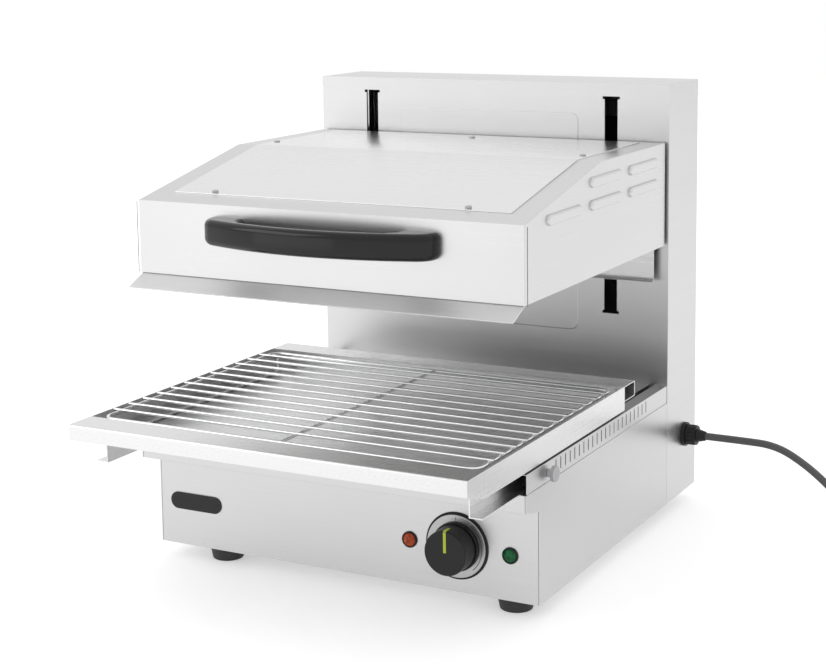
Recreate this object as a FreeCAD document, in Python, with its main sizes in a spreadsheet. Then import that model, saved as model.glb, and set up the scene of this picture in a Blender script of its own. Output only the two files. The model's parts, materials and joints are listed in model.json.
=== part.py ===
import FreeCAD, Part
import Sketcher
import math
import os
import re

# Salamander grill: a low base with a pull-out rack, a rear column and a heating head that slides up and down.
# Frame: +X to the user's right, +Y to the back, +Z up, in millimetres.
# The origin is on the worktop under the middle of the machine.

Vector = FreeCAD.Vector
doc = FreeCAD.newDocument("SalamanderGrill")
dims = doc.addObject("Spreadsheet::Sheet", "dims")
names = []
nodes = []


def size(name, number):
    """Write one driving dimension to the sheet: millimetres, degrees or a count."""
    names.append(name)
    row = len(names)
    dims.set("A%d" % row, name)
    dims.set("B%d" % row, str(number))
    dims.setAlias("B%d" % row, name)


# Sheet metal and outside sizes
size("sheet", 1.2)
size("seam", 0.2)
size("screw_head_radius", 3.4)
size("screw_head_height", 1.6)
size("base_width", 450)
size("base_reach", 358)
size("side_height", 119.5)
size("deck_height", 139.5)
size("column_depth", 96)
size("column_height", 483)
size("foot_height", 17)
size("rack_reach", 511)

# Base: front panel with its flared lip, side panels, bottom pan
size("flare_height", 95)
size("lip_reach", 31)
size("lip_bottom", 101.5)
size("front_flange", 18)
size("side_flange", 18)
size("pan_slot_length", 60)
size("pan_slot_width", 6)
size("pan_slot_pitch", 16)
size("pan_slot_count", 9)
size("front_left_foot_x", -158)
size("front_right_foot_x", 187)
size("front_foot_y", 330)
size("rear_foot_x", 172)
size("rear_foot_y", 52)
size("foot_top_radius", 20)
size("foot_bottom_radius", 16.5)

# Deck, rail slots and vented side rails
size("deck_half_width", 203.2)
size("deck_reach", 386)
size("rail_slot", 6.3)
size("vent_inset", 0.6)
size("vent_count", 22)
size("vent_pitch", 11.87)
size("vent_width", 2.2)
size("vent_length", 12)
size("vent_first", 316.4)
size("thumb_hole_y", 337)
size("thumb_hole_z", 128.5)
size("thumb_screw_radius", 2.5)
size("thumb_clearance", 0.06)

# Column: slots for the lift arms and the pressed panel between them
size("slot_spread", 155.3)
size("slot_width", 15.5)
size("slot_bottom", 218)
size("slot_top", 468)
size("slot_head_width", 20.5)
size("slot_head_height", 3)
size("press_half_width", 115)
size("press_bottom", 195)
size("press_top", 448)
size("press_radius", 9)
size("press_height", 0.9)
size("window_height", 108)
size("back_slot_count", 9)
size("back_slot_top", 427.5)
size("back_slot_length", 60)
size("back_slot_width", 5)
size("back_slot_pitch", 14)

# Lift mechanism inside the column
size("rod_spread", 179)
size("rod_radius", 8)
size("rod_y", 31)
size("rod_clearance", 0.06)
size("rod_foot_height", 200)
size("bracket_height", 10)
size("bracket_front", 14)
size("lower_bracket_depth", 25)
size("upper_bracket_depth", 40)
size("pulley_spread", 100)
size("pulley_y", 40)
size("pulley_z", 440)
size("pulley_radius", 24.5)
size("pulley_width", 11)
size("pulley_axle_radius", 4)
size("rope_radius", 1.5)
size("rope_pitch_radius", 21)
size("rope_clearance", 0.25)
size("cheek_gap", 0.6)
size("cheek_thickness", 2.5)
size("weight_half_width", 128)
size("weight_depth", 44)
size("weight_height", 92)
size("weight_top", 340)
size("weight_setback", 5)

# Head: shell, top plate, louvres, lip, rear plate
size("head_half_width", 222)
size("head_reach", 384)
size("head_gap", 5)
size("head_bottom", 302)
size("head_front_top", 379)
size("head_bend_y", 194)
size("head_top", 418.3)
size("plate_half_width", 196)
size("plate_front_y", 356)
size("plate_rear_y", 14)
size("plate_thickness", 1)
size("frame_ledge", 14)
size("louvre_length", 84)
size("louvre_height", 11)
size("louvre_rise", 3)
size("louvre_pitch", 108.5)
size("louvre_front_y", 333)
size("louvre_low_z", 376)
size("louvre_high_z", 399.5)
size("head_lip_reach", 24)
size("head_lip_drop", 11.5)
size("skirt_half_width", 211.5)
size("skirt_y", 9.5)
size("skirt_bottom", 268)
size("hem_drop", 7.5)
size("hem_reach", 3)
size("arm_thickness", 6)
size("arm_bottom", 290)
size("arm_top", 400)
size("arm_back_y", 50)
size("crossbar_height", 22)
size("block_height", 26)
size("block_depth", 32)
size("block_width", 32)

# Heating elements and the reflector over them
size("reflector_sheet", 0.8)
size("reflector_depth", 24)
size("reflector_z", 338)
size("reflector_margin", 22)
size("element_radius", 4)
size("element_z", 322)
size("element_run", 165)
size("element_pitch", 38)
size("element_front_y", 330)

# Handle
size("handle_z", 353)
size("handle_height", 27)
size("handle_half_length", 133.5)
size("handle_reach", 44)
size("handle_thickness", 15)
size("handle_foot", 44)
size("handle_slope", 12)
size("handle_shoulder", 28)
size("handle_inner_bend", 12)
size("handle_edge", 6)
size("handle_inner_edge", 2.5)

# Rack: pan, bars, rails and wire grid
size("rack_half_width", 223)
size("rack_bottom", 141)
size("rack_top", 167.5)
size("bar_depth", 36)
size("bar_face_bottom", 151.5)
size("pan_rear_y", 128)
size("rear_bar_depth", 30)
size("rear_bar_bottom", 150.5)
size("rail_web_x", 205.3)
size("rail_thickness", 1.5)
size("rail_flange", 14)
size("rail_clearance", 0.3)
size("rail_front_y", 473)
size("rail_length", 300)
size("grid_half_width", 212.7)
size("grid_front_y", 468.5)
size("grid_pitch", 25.1)
size("grid_rod_count", 12)
size("grid_z", 165)
size("grid_frame_radius", 2)
size("grid_rod_radius", 1.5)
size("grid_overhang", 5)
size("grid_corner", 12)
size("grid_weld", 0.6)
size("runner_inset", 6)
size("runner_radius", 1.6)
size("runner_bend", 6)

# Controls on the front panel
size("knob_x", 135.5)
size("knob_z", 48)
size("bezel_radius", 34.5)
size("bezel_plate_radius", 32.3)
size("knob_radius", 23)
size("knob_base_radius", 25)
size("knob_front", 28)
size("pointer_width", 3.5)
size("pointer_wrap", 10)
size("shaft_radius", 3)
size("shaft_clearance", 0.08)
size("regulator_width", 44)
size("regulator_depth", 38)
size("amber_lamp_x", 82)
size("green_lamp_x", 193.5)
size("lamp_z", 46.5)
size("lamp_radius", 9.6)
size("lamp_rise", 3.5)
size("nameplate_x", -178.5)
size("nameplate_z", 48.7)
size("nameplate_length", 65)
size("nameplate_height", 18.5)

# Mains lead
size("gland_y", 58)
size("gland_z", 69)
size("gland_radius", 12)
size("gland_flange_radius", 14)
size("gland_neck", 4)
size("gland_length", 27)
size("cord_radius", 4.25)
size("cord_rest", 4.4)
size("coil_x", 496.5)
size("coil_y", 209)
size("coil_radius", 58)
size("coil_pitch", 9.5)
size("coil_layer", 9.2)
size("coil_turns_in", 2.75)
size("coil_turns_out", 2.5)
size("coil_tail", 34)
size("plug_neck_length", 22)
size("plug_shoulder", 12)
size("plug_body_length", 24)
size("plug_width", 36)
size("plug_height", 26.4)
size("pin_radius", 2.4)
size("pin_length", 19)
size("pin_spacing", 19)

doc.recompute()

SIDES = (("left", "-1"), ("right", "1"))
# Distance from the machine's middle to the column's front face
COLUMN_FRONT = "(rack_reach - column_depth - screw_head_height) / 2"


def bind(text):
    """Turn a formula in the sheet's words into an expression."""
    return re.sub(r"[a-z_]+", lambda word: "dims." + word.group() if word.group() in names else word.group(), text)


def number(text):
    return float(dims.evalExpression(bind(text)))


def tie(thing, path, text):
    thing.setExpression(path, bind(text))


def put(thing, x="0", y="0", z="0"):
    """Place a sub-part. y counts from the column's front face, z from the underside of the base."""
    tie(thing, "Placement.Base.x", x)
    tie(thing, "Placement.Base.y", COLUMN_FRONT + " + (" + y + ")")
    tie(thing, "Placement.Base.z", "foot_height + (" + z + ")")


def node(thing, label):
    thing.Label = label
    nodes.append(thing)
    return thing


def loose_body(label, x="0", y="0", z="0"):
    """A body that shares its node with others of its kind."""
    body = doc.addObject("PartDesign::Body", label + "_body")
    put(body, x, y, z)
    return body


def new_body(label, x="0", y="0", z="0"):
    return node(loose_body(label, x, y, z), label)


def origin_plane(body, role):
    return [plane for plane in body.Origin.OriginFeatures if plane.Role == role][0]


def new_sketch(body, role, offset="0"):
    """A sketch on XY (up), XZ (out to the front) or YZ (out to the right), moved by offset along that way."""
    sketch = body.newObject("Sketcher::SketchObject", body.Name + "_sketch")
    sketch.AttachmentSupport = [(origin_plane(body, role + "_Plane"), "")]
    sketch.MapMode = "FlatFace"
    tie(sketch, "AttachmentOffset.Base.z", offset)
    return sketch


def limit(sketch, kind, first, first_point, second, second_point, text):
    """Add a distance constraint and bind it to its formula."""
    constraint = Sketcher.Constraint(kind, first, first_point, second, second_point, number(text))
    index = sketch.addConstraint(constraint)
    tie(sketch, "Constraints[%d]" % index, text)


def pin(sketch, element, point, x, y):
    """Fix a point of an element to a place measured from the sketch's origin."""
    limit(sketch, "DistanceX", -1, 1, element, point, x)
    limit(sketch, "DistanceY", -1, 1, element, point, y)


def line(sketch, start, end):
    a = Vector(number(start[0]), number(start[1]), 0)
    b = Vector(number(end[0]), number(end[1]), 0)
    return sketch.addGeometry(Part.LineSegment(a, b), False)


def outline(sketch, corners):
    """A closed outline through corners, each a pair of formulas."""
    first = sketch.GeometryCount
    count = len(corners)
    for i in range(count):
        line(sketch, corners[i], corners[(i + 1) % count])
    for i in range(count):
        sketch.addConstraint(Sketcher.Constraint("Coincident", first + i, 2, first + (i + 1) % count, 1))
    for i in range(count):
        pin(sketch, first + i, 1, corners[i][0], corners[i][1])


def rectangle(sketch, x0, y0, x1, y1):
    outline(sketch, [(x0, y0), (x1, y0), (x1, y1), (x0, y1)])


def circle(sketch, x, y, radius):
    centre = Vector(number(x), number(y), 0)
    element = sketch.addGeometry(Part.Circle(centre, Vector(0, 0, 1), number(radius)), False)
    pin(sketch, element, 3, x, y)
    index = sketch.addConstraint(Sketcher.Constraint("Radius", element, number(radius)))
    tie(sketch, "Constraints[%d]" % index, radius)


def rounded(sketch, x0, y0, x1, y1, radius):
    """A rectangle with round corners, drawn counter-clockwise from its lower right corner."""
    r = "(" + radius + ")"
    left, right = "(" + x0 + ")", "(" + x1 + ")"
    low, high = "(" + y0 + ")", "(" + y1 + ")"
    corners = [
        (right + "-" + r, low + "+" + r, 270),
        (right + "-" + r, high + "-" + r, 0),
        (left + "+" + r, high + "-" + r, 90),
        (left + "+" + r, low + "+" + r, 180),
    ]
    starts = [
        (right + "-" + r, low),
        (right, high + "-" + r),
        (left + "+" + r, high),
        (left, low + "+" + r),
    ]
    first = sketch.GeometryCount
    for x, y, angle in corners:
        ring = Part.Circle(Vector(number(x), number(y), 0), Vector(0, 0, 1), number(radius))
        sketch.addGeometry(Part.ArcOfCircle(ring, math.radians(angle), math.radians(angle + 90)), False)
    for i, (x, y, angle) in enumerate(corners):
        pin(sketch, first + i, 3, x, y)
        pin(sketch, first + i, 1, starts[i][0], starts[i][1])
        # the end of each arc lies level with its centre or above it
        kind = "DistanceY" if angle in (90, 270) else "DistanceX"
        limit(sketch, kind, first + i, 3, first + i, 2, "0")
    for i in range(4):
        a = sketch.getPoint(first + i, 2)
        b = sketch.getPoint(first + (i + 1) % 4, 1)
        side = sketch.addGeometry(Part.LineSegment(a, b), False)
        sketch.addConstraint(Sketcher.Constraint("Coincident", first + i, 2, side, 1))
        sketch.addConstraint(Sketcher.Constraint("Coincident", side, 2, first + (i + 1) % 4, 1))


def slot(sketch, x, y, length, width, upright=True):
    """A slot with round ends about the centre x, y."""
    x, y = "(" + x + ")", "(" + y + ")"
    radius = "(" + width + ") / 2"
    reach = "((" + length + ") - (" + width + ")) / 2"
    ends = []
    for sign, turn in (("+", 0), ("-", 180)):
        if upright:
            centre = (x, y + sign + reach)
            start = (x + sign + radius, centre[1])
            angle = turn
        else:
            centre = (x + sign + reach, y)
            start = (centre[0], y + ("-" if turn == 0 else "+") + radius)
            angle = turn - 90
        ring = Part.Circle(Vector(number(centre[0]), number(centre[1]), 0), Vector(0, 0, 1), number(radius))
        arc = Part.ArcOfCircle(ring, math.radians(angle), math.radians(angle + 180))
        element = sketch.addGeometry(arc, False)
        pin(sketch, element, 3, centre[0], centre[1])
        pin(sketch, element, 1, start[0], start[1])
        limit(sketch, "DistanceY" if upright else "DistanceX", element, 3, element, 2, "0")
        ends.append(element)
    for a, b in ((0, 1), (1, 0)):
        side = sketch.addGeometry(Part.LineSegment(sketch.getPoint(ends[a], 2), sketch.getPoint(ends[b], 1)), False)
        sketch.addConstraint(Sketcher.Constraint("Coincident", ends[a], 2, side, 1))
        sketch.addConstraint(Sketcher.Constraint("Coincident", side, 2, ends[b], 1))


def feature(body, kind, sketch):
    made = body.newObject("PartDesign::" + kind, body.Name + "_" + kind.lower())
    made.Profile = sketch
    sketch.Visibility = False
    return made


def pad(body, sketch, length, back=False, middle=False):
    """Pad a sketch, by length in all. back pads against the sketch's own way, middle to both sides."""
    made = feature(body, "Pad", sketch)
    made.Reversed = back
    made.Midplane = middle
    tie(made, "Length", length)
    return made


def pocket(body, sketch, length, back=False, middle=False):
    """Cut a sketch away, against the sketch's own way, or along it with back."""
    doc.recompute()
    before = body.Shape.Volume
    made = feature(body, "Pocket", sketch)
    made.Reversed = back
    made.Midplane = middle
    tie(made, "Length", length)
    doc.recompute()
    if body.Shape.Volume > before - 0.01:
        raise RuntimeError("a pocket in " + body.Label + " cuts nothing")
    return made


def revolve(body, sketch, axis="V_Axis"):
    made = feature(body, "Revolution", sketch)
    made.ReferenceAxis = (sketch, [axis])
    made.Angle = 360
    return made


def hollow(body, open_face, wall="sheet"):
    """Turn the solid so far into sheet metal, open at each face that open_face picks by centre and normal."""
    doc.recompute()
    solid = body.Tip
    picked = []
    for i, face in enumerate(solid.Shape.Faces):
        u0, u1, v0, v1 = face.ParameterRange
        normal = face.normalAt((u0 + u1) / 2, (v0 + v1) / 2)
        if open_face(face.CenterOfMass, normal):
            picked.append("Face%d" % (i + 1))
    if not picked:
        raise RuntimeError("no open face in " + body.Label)
    made = body.newObject("PartDesign::Thickness", body.Name + "_wall")
    made.Base = (solid, picked)
    made.Mode = 0
    made.Join = 1
    made.Reversed = True
    tie(made, "Value", wall)
    return made


def soften(body, radius, edges, kind="Fillet"):
    """Round or bevel the edges whose middle point edges picks."""
    doc.recompute()
    solid = body.Tip
    picked = []
    for i, edge in enumerate(solid.Shape.Edges):
        middle = edge.valueAt((edge.FirstParameter + edge.LastParameter) / 2)
        if edges(middle, edge):
            picked.append("Edge%d" % (i + 1))
    if not picked:
        raise RuntimeError("no edge to soften in " + body.Label)
    made = body.newObject("PartDesign::" + kind, body.Name + "_" + kind.lower())
    made.Base = (solid, picked)
    tie(made, "Radius" if kind == "Fillet" else "Size", radius)
    return made


def repeat(body, made, sketch, axis, pitch, count):
    """Repeat a feature along a sketch axis: count copies, pitch apart."""
    pattern = body.newObject("PartDesign::LinearPattern", body.Name + "_pattern")
    pattern.Originals = [made]
    pattern.Direction = (sketch, [axis])
    pattern.Mode = "Extent"
    tie(pattern, "Length", "(" + pitch + ") * (" + count + " - 1)")
    tie(pattern, "Occurrences", count)
    body.Tip = pattern
    return pattern


def near(a, b):
    return abs(a - b) < 0.01


def vertical(edge):
    return isinstance(edge.Curve, Part.Line) and abs(edge.Curve.Direction.z) > 0.99


def along_x(edge):
    return isinstance(edge.Curve, Part.Line) and abs(edge.Curve.Direction.x) > 0.99


def cylinder(label, radius, length, way="z"):
    """A plain round bar with its start at its own origin, along x, y (to the back) or z."""
    bar = doc.addObject("Part::Cylinder", label)
    tie(bar, "Radius", radius)
    tie(bar, "Height", length)
    if way == "x":
        bar.Placement.Rotation = FreeCAD.Rotation(Vector(0, 1, 0), 90)
    if way == "y":
        bar.Placement.Rotation = FreeCAD.Rotation(Vector(1, 0, 0), -90)
    return bar


def group(label, members):
    """Like pieces that share one node, each still a solid of its own."""
    made = doc.addObject("Part::Compound", label + "_group")
    made.Links = members
    return node(made, label)


# Front panel: one folded sheet. It rises, flares forward, turns up into the lip and folds back under the deck.
def make_front_panel():
    body = new_body("front_panel")
    sketch = new_sketch(body, "YZ")
    outline(sketch, [
        ("-base_reach", "0"),
        ("-base_reach + front_flange", "0"),
        ("-base_reach + front_flange", "side_height"),
        ("-base_reach - lip_reach", "side_height"),
        ("-base_reach - lip_reach", "lip_bottom"),
        ("-base_reach", "flare_height"),
    ])
    pad(body, sketch, "base_width - 2 * sheet - 2 * seam", middle=True)
    rear = number("-base_reach + front_flange")
    half = number("base_width / 2 - sheet - seam")
    hollow(body, lambda c, n: near(c.y, rear) or near(abs(c.x), half))
    holes = new_sketch(body, "XZ", "base_reach")
    circle(holes, "knob_x", "knob_z", "shaft_radius + 4 * shaft_clearance")
    circle(holes, "amber_lamp_x", "lamp_z", "lamp_radius - 2")
    circle(holes, "green_lamp_x", "lamp_z", "lamp_radius - 2")
    pocket(body, holes, "2 * sheet")


# Side panel: flat sheet with the front panel's outline at its front, and inward flanges at its top and foot.
def make_side_panel(label, side):
    body = new_body(label, side + " * base_width / 2")
    sketch = new_sketch(body, "YZ")
    outline(sketch, [
        ("-base_reach", "0"),
        ("-seam", "0"),
        ("-seam", "side_height"),
        ("-base_reach - lip_reach", "side_height"),
        ("-base_reach - lip_reach", "lip_bottom"),
        ("-base_reach", "flare_height"),
    ])
    inward = side == "1"
    pad(body, sketch, "sheet", back=inward)
    flanges = new_sketch(body, "YZ")
    front = "-base_reach + front_flange + seam"
    rectangle(flanges, front, "side_height - sheet", "-seam", "side_height")
    rectangle(flanges, front, "sheet", "-seam", "2 * sheet")
    pad(body, flanges, "side_flange", back=inward)


# Bottom pan: flat sheet under the side panels' foot flanges, with two rows of air slots.
def make_bottom_pan():
    body = new_body("bottom_pan")
    half = "base_width / 2 - sheet - seam"
    sketch = new_sketch(body, "XY")
    rectangle(sketch, "-(" + half + ")", "-base_reach + front_flange + seam", half, "column_depth - sheet - seam")
    pad(body, sketch, "sheet")
    slots = new_sketch(body, "XY", "sheet")
    start = "-pan_slot_pitch * (pan_slot_count - 1) / 2"
    for row in ("-base_reach * 2 / 3", "-base_reach / 3"):
        rectangle(slots, start + " - pan_slot_width / 2", row + " - pan_slot_length / 2",
                  start + " + pan_slot_width / 2", row + " + pan_slot_length / 2")
    cut = pocket(body, slots, "2 * sheet")
    repeat(body, cut, slots, "H_Axis", "pan_slot_pitch", "pan_slot_count")


# Rubber foot: turned shape, wider at its top, with a screw recess from below.
def make_foot(label, x, y):
    body = new_body(label, x, y)
    sketch = new_sketch(body, "XZ")
    outline(sketch, [
        ("0", "-foot_height / 2"),
        ("foot_bottom_radius / 3", "-foot_height / 2"),
        ("foot_bottom_radius / 3", "-foot_height"),
        ("foot_bottom_radius", "-foot_height"),
        ("foot_top_radius", "-foot_height / 6"),
        ("foot_top_radius", "0"),
        ("0", "0"),
    ])
    revolve(body, sketch)


# Deck: flat top sheet between the two rail slots, with walls down to the front panel's fold.
def make_deck():
    body = new_body("deck_plate")
    sketch = new_sketch(body, "XY", "side_height")
    rectangle(sketch, "-deck_half_width", "-deck_reach", "deck_half_width", "-seam")
    pad(body, sketch, "deck_height - side_height")
    floor = number("side_height")
    rear = number("-seam")
    hollow(body, lambda c, n: near(c.z, floor) or near(c.y, rear))


# Vented side rail: an angle whose wall stands on the side panel and whose top reaches in to the rail slot.
def make_vent_rail(label, side):
    body = new_body(label, side + " * (base_width / 2 - vent_inset)")
    inward = side == "1"
    wall = new_sketch(body, "YZ")
    rectangle(wall, "-deck_reach", "side_height", "-seam", "deck_height")
    pad(body, wall, "sheet", back=inward)
    top = new_sketch(body, "YZ")
    rectangle(top, "-deck_reach", "deck_height - sheet", "-seam", "deck_height")
    pad(body, top, "base_width / 2 - vent_inset - deck_half_width - rail_slot", back=inward)
    vents = new_sketch(body, "YZ")
    middle = "(side_height + deck_height) / 2 + 1"
    rectangle(vents, "-vent_first - vent_width / 2", middle + " - vent_length / 2",
              "-vent_first + vent_width / 2", middle + " + vent_length / 2")
    cut = pocket(body, vents, "4 * sheet", middle=True)
    repeat(body, cut, vents, "H_Axis", "vent_pitch", "vent_count")
    hole = new_sketch(body, "YZ")
    circle(hole, "-thumb_hole_y", "thumb_hole_z", "thumb_screw_radius + thumb_clearance")
    pocket(body, hole, "4 * sheet", middle=True)


# Column: front, sides and top are one folded sheet. Two upright slots with wider heads let the lift arms out.
def make_column_shell():
    body = new_body("column_shell")
    block = new_sketch(body, "XY")
    rectangle(block, "-base_width / 2", "0", "base_width / 2", "column_depth - sheet")
    pad(body, block, "column_height")
    rear = number("column_depth - sheet")
    hollow(body, lambda c, n: near(c.z, 0) or near(c.y, rear))
    window = new_sketch(body, "XZ")
    rectangle(window, "-base_width / 2 + sheet", "-1", "base_width / 2 - sheet", "window_height")
    pocket(body, window, "3 * sheet")
    slots = new_sketch(body, "XZ", "1")
    for side in ("-1", "1"):
        x = "(" + side + " * slot_spread)"
        low = "slot_bottom + slot_head_height"
        high = "slot_top - slot_head_height"
        outline(slots, [
            (x + " - slot_head_width / 2", "slot_bottom"),
            (x + " + slot_head_width / 2", "slot_bottom"),
            (x + " + slot_head_width / 2", low),
            (x + " + slot_width / 2", low),
            (x + " + slot_width / 2", high),
            (x + " + slot_head_width / 2", high),
            (x + " + slot_head_width / 2", "slot_top"),
            (x + " - slot_head_width / 2", "slot_top"),
            (x + " - slot_head_width / 2", high),
            (x + " - slot_width / 2", high),
            (x + " - slot_width / 2", low),
            (x + " - slot_head_width / 2", low),
        ])
    pocket(body, slots, "3 * sheet")
    pressed = new_sketch(body, "XZ")
    rounded(pressed, "-press_half_width", "press_bottom", "press_half_width", "press_top", "press_radius")
    pad(body, pressed, "press_height")
    out = number("-press_height")
    soften(body, "press_height * 0.7", lambda m, e: near(m.y, out))


# Rear cover of the column: flat sheet with two columns of air slots.
def make_column_back():
    body = new_body("column_back", y="column_depth")
    sketch = new_sketch(body, "XZ")
    rectangle(sketch, "-base_width / 2", "0", "base_width / 2", "column_height")
    pad(body, sketch, "sheet")
    slots = new_sketch(body, "XZ", "2 * sheet")
    for x in ("-base_width / 4", "base_width / 4"):
        rectangle(slots, x + " - back_slot_length / 2", "back_slot_top - back_slot_width",
                  x + " + back_slot_length / 2", "back_slot_top")
    cut = pocket(body, slots, "4 * sheet")
    low = repeat(body, cut, slots, "V_Axis", "back_slot_pitch", "back_slot_count")
    low.Reversed = True


# Round guide rods that carry the head, between two cross brackets.
def make_guide_rods():
    rods = []
    for word, side in SIDES:
        rod = cylinder("guide_rod_" + word, "rod_radius",
                       "column_height - sheet - bracket_height - rod_foot_height")
        put(rod, side + " * rod_spread", "rod_y", "rod_foot_height")
        rods.append(rod)
    group("guide_rods", rods)


def make_bracket(label, z, depth, up):
    """Folded channel across the column, open upwards or downwards."""
    body = loose_body(label, y="rod_y - bracket_front", z=z)
    sketch = new_sketch(body, "XY")
    half = "(base_width / 2 - sheet)"
    rectangle(sketch, "-" + half, "0", half, depth)
    pad(body, sketch, "bracket_height")
    face = number("bracket_height") if up else 0
    half_width = number(half)
    hollow(body, lambda c, n: near(c.z, face) or near(abs(c.x), half_width), "sheet * 2")
    return body


# Grooved pulley on a plain axle, hung from the upper bracket between two cheeks.
def make_pulley(label, side):
    body = new_body(label, side + " * pulley_spread", "pulley_y", "pulley_z")
    sketch = new_sketch(body, "XY")
    groove = "rope_pitch_radius - rope_radius - rope_clearance"
    outline(sketch, [
        ("-pulley_width / 2", "pulley_axle_radius + rod_clearance"),
        ("pulley_width / 2", "pulley_axle_radius + rod_clearance"),
        ("pulley_width / 2", "pulley_radius"),
        ("rope_radius + 2 * rope_clearance + 1", "pulley_radius"),
        ("rope_radius + 2 * rope_clearance", groove),
        ("-rope_radius - 2 * rope_clearance", groove),
        ("-rope_radius - 2 * rope_clearance - 1", "pulley_radius"),
        ("-pulley_width / 2", "pulley_radius"),
    ])
    revolve(body, sketch, "H_Axis")


def make_pulley_hangers():
    """Two cheeks and the axle between them are one welded piece, one for each pulley."""
    hangers = []
    for word, side in SIDES:
        body = loose_body("pulley_hanger_" + word, side + " * pulley_spread", "pulley_y", "pulley_z")
        cheeks = new_sketch(body, "XZ")
        inner = "(pulley_width / 2 + cheek_gap)"
        outer = "(" + inner + " + cheek_thickness)"
        foot = "-pulley_axle_radius * 2.5"
        top = "column_height - sheet - bracket_height - pulley_z"
        rectangle(cheeks, inner, foot, outer, top)
        rectangle(cheeks, "-" + outer, foot, "-" + inner, top)
        pad(body, cheeks, "pulley_radius", middle=True)
        axle = new_sketch(body, "YZ")
        circle(axle, "0", "0", "pulley_axle_radius")
        pad(body, axle, "2 * " + outer, middle=True)
        hangers.append(body)
    group("pulley_hangers", hangers)


# Wire ropes: up from the carriage, over the pulleys and down to the counterweight.
def make_rope_strands(label, y, low):
    strands = []
    for word, side in SIDES:
        strand = cylinder(label + "_" + word, "rope_radius", "pulley_z - (" + low + ")")
        put(strand, side + " * pulley_spread", y, low)
        strands.append(strand)
    group(label, strands)


def make_rope_wraps():
    """The half turn that lies in each pulley's groove."""
    wraps = []
    for word, side in SIDES:
        wrap = doc.addObject("Part::Torus", "rope_wrap_" + word)
        tie(wrap, "Radius1", "rope_pitch_radius")
        tie(wrap, "Radius2", "rope_radius")
        wrap.Angle3 = 180
        wrap.Placement.Rotation = FreeCAD.Rotation(Vector(0, 1, 0), Vector(0, 0, 1), Vector(1, 0, 0), "ZXY")
        put(wrap, side + " * pulley_spread", "pulley_y", "pulley_z")
        wraps.append(wrap)
    group("rope_wraps", wraps)


# Counterweight: a cast block with bevelled edges, as heavy as the head it balances.
def make_counterweight():
    body = new_body("counterweight", y="pulley_y + rope_pitch_radius + weight_setback", z="weight_top - weight_height")
    sketch = new_sketch(body, "XY")
    rectangle(sketch, "-weight_half_width", "-weight_depth / 2", "weight_half_width", "weight_depth / 2")
    pad(body, sketch, "weight_height")
    soften(body, "5", lambda m, e: vertical(e), "Chamfer")


# Head shell: folded front, sides and top frame in one shape, open below and at the back.
def make_head_shell():
    body = new_body("head_shell")
    side = new_sketch(body, "YZ")
    outline(side, [
        ("-head_reach", "head_bottom"),
        ("-head_gap", "head_bottom"),
        ("-head_gap", "head_top"),
        ("-head_bend_y", "head_top"),
        ("-head_reach", "head_front_top"),
    ])
    pad(body, side, "2 * head_half_width", middle=True)
    low = number("head_bottom")
    rear = number("-head_gap")
    hollow(body, lambda c, n: near(c.z, low) or near(c.y, rear))
    opening = new_sketch(body, "XY", "head_top + 1")
    reach = "plate_half_width - frame_ledge"
    rectangle(opening, "-" + reach.replace("-", "+"), "-plate_front_y + frame_ledge",
              reach, "-plate_rear_y - frame_ledge")
    pocket(body, opening, "head_top - head_front_top")
    add_louvres(body)
    holes = new_sketch(body, "XZ", "head_reach")
    for side_sign in ("-1", "1"):
        circle(holes, side_sign + " * (handle_half_length - handle_foot / 2)", "handle_z", "2.6")
    pocket(body, holes, "2 * sheet")


def add_louvres(body):
    """Five pressed hoods on each side, open along their lower edge."""
    for sign, out in (("1", False), ("-1", True)):
        hood = new_sketch(body, "YZ", sign + " * (head_half_width - sheet / 2)")
        slit = new_sketch(body, "YZ", sign + " * (head_half_width - 2 * sheet)")
        for step, z in ((0, "louvre_low_z"), (1, "louvre_low_z"), (1, "louvre_high_z"),
                        (2, "louvre_low_z"), (2, "louvre_high_z")):
            start = "-louvre_front_y + %d * louvre_pitch" % step
            middle = start + " + louvre_length / 2"
            slot(hood, middle, z, "louvre_length", "louvre_height", False)
            slot(slit, middle, z + " - 0.6", "louvre_length - 8", "louvre_height - 3.2", False)
        pad(body, hood, "louvre_rise + sheet / 2", back=out)
        face = number(sign + " * (head_half_width + louvre_rise)")
        soften(body, "louvre_rise * 0.8", lambda m, e: near(m.x, face))
        pocket(body, slit, "2 * sheet + louvre_rise - sheet * 0.6", back=not out)


# Top plate of the head: a bent sheet laid over the frame, held by five screws.
def make_head_top_plate():
    body = new_body("head_top_plate")
    rise = "(head_top - head_front_top) / (head_reach - head_bend_y)"
    front = "head_top - (plate_front_y - head_bend_y) * " + rise
    side = new_sketch(body, "YZ")
    outline(side, [
        ("-plate_front_y", front),
        ("-head_bend_y", "head_top"),
        ("-plate_rear_y", "head_top"),
        ("-plate_rear_y", "head_top + plate_thickness"),
        ("-head_bend_y - plate_thickness * 0.1", "head_top + plate_thickness"),
        ("-plate_front_y", front + " + plate_thickness"),
    ])
    pad(body, side, "2 * plate_half_width", middle=True)


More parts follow.
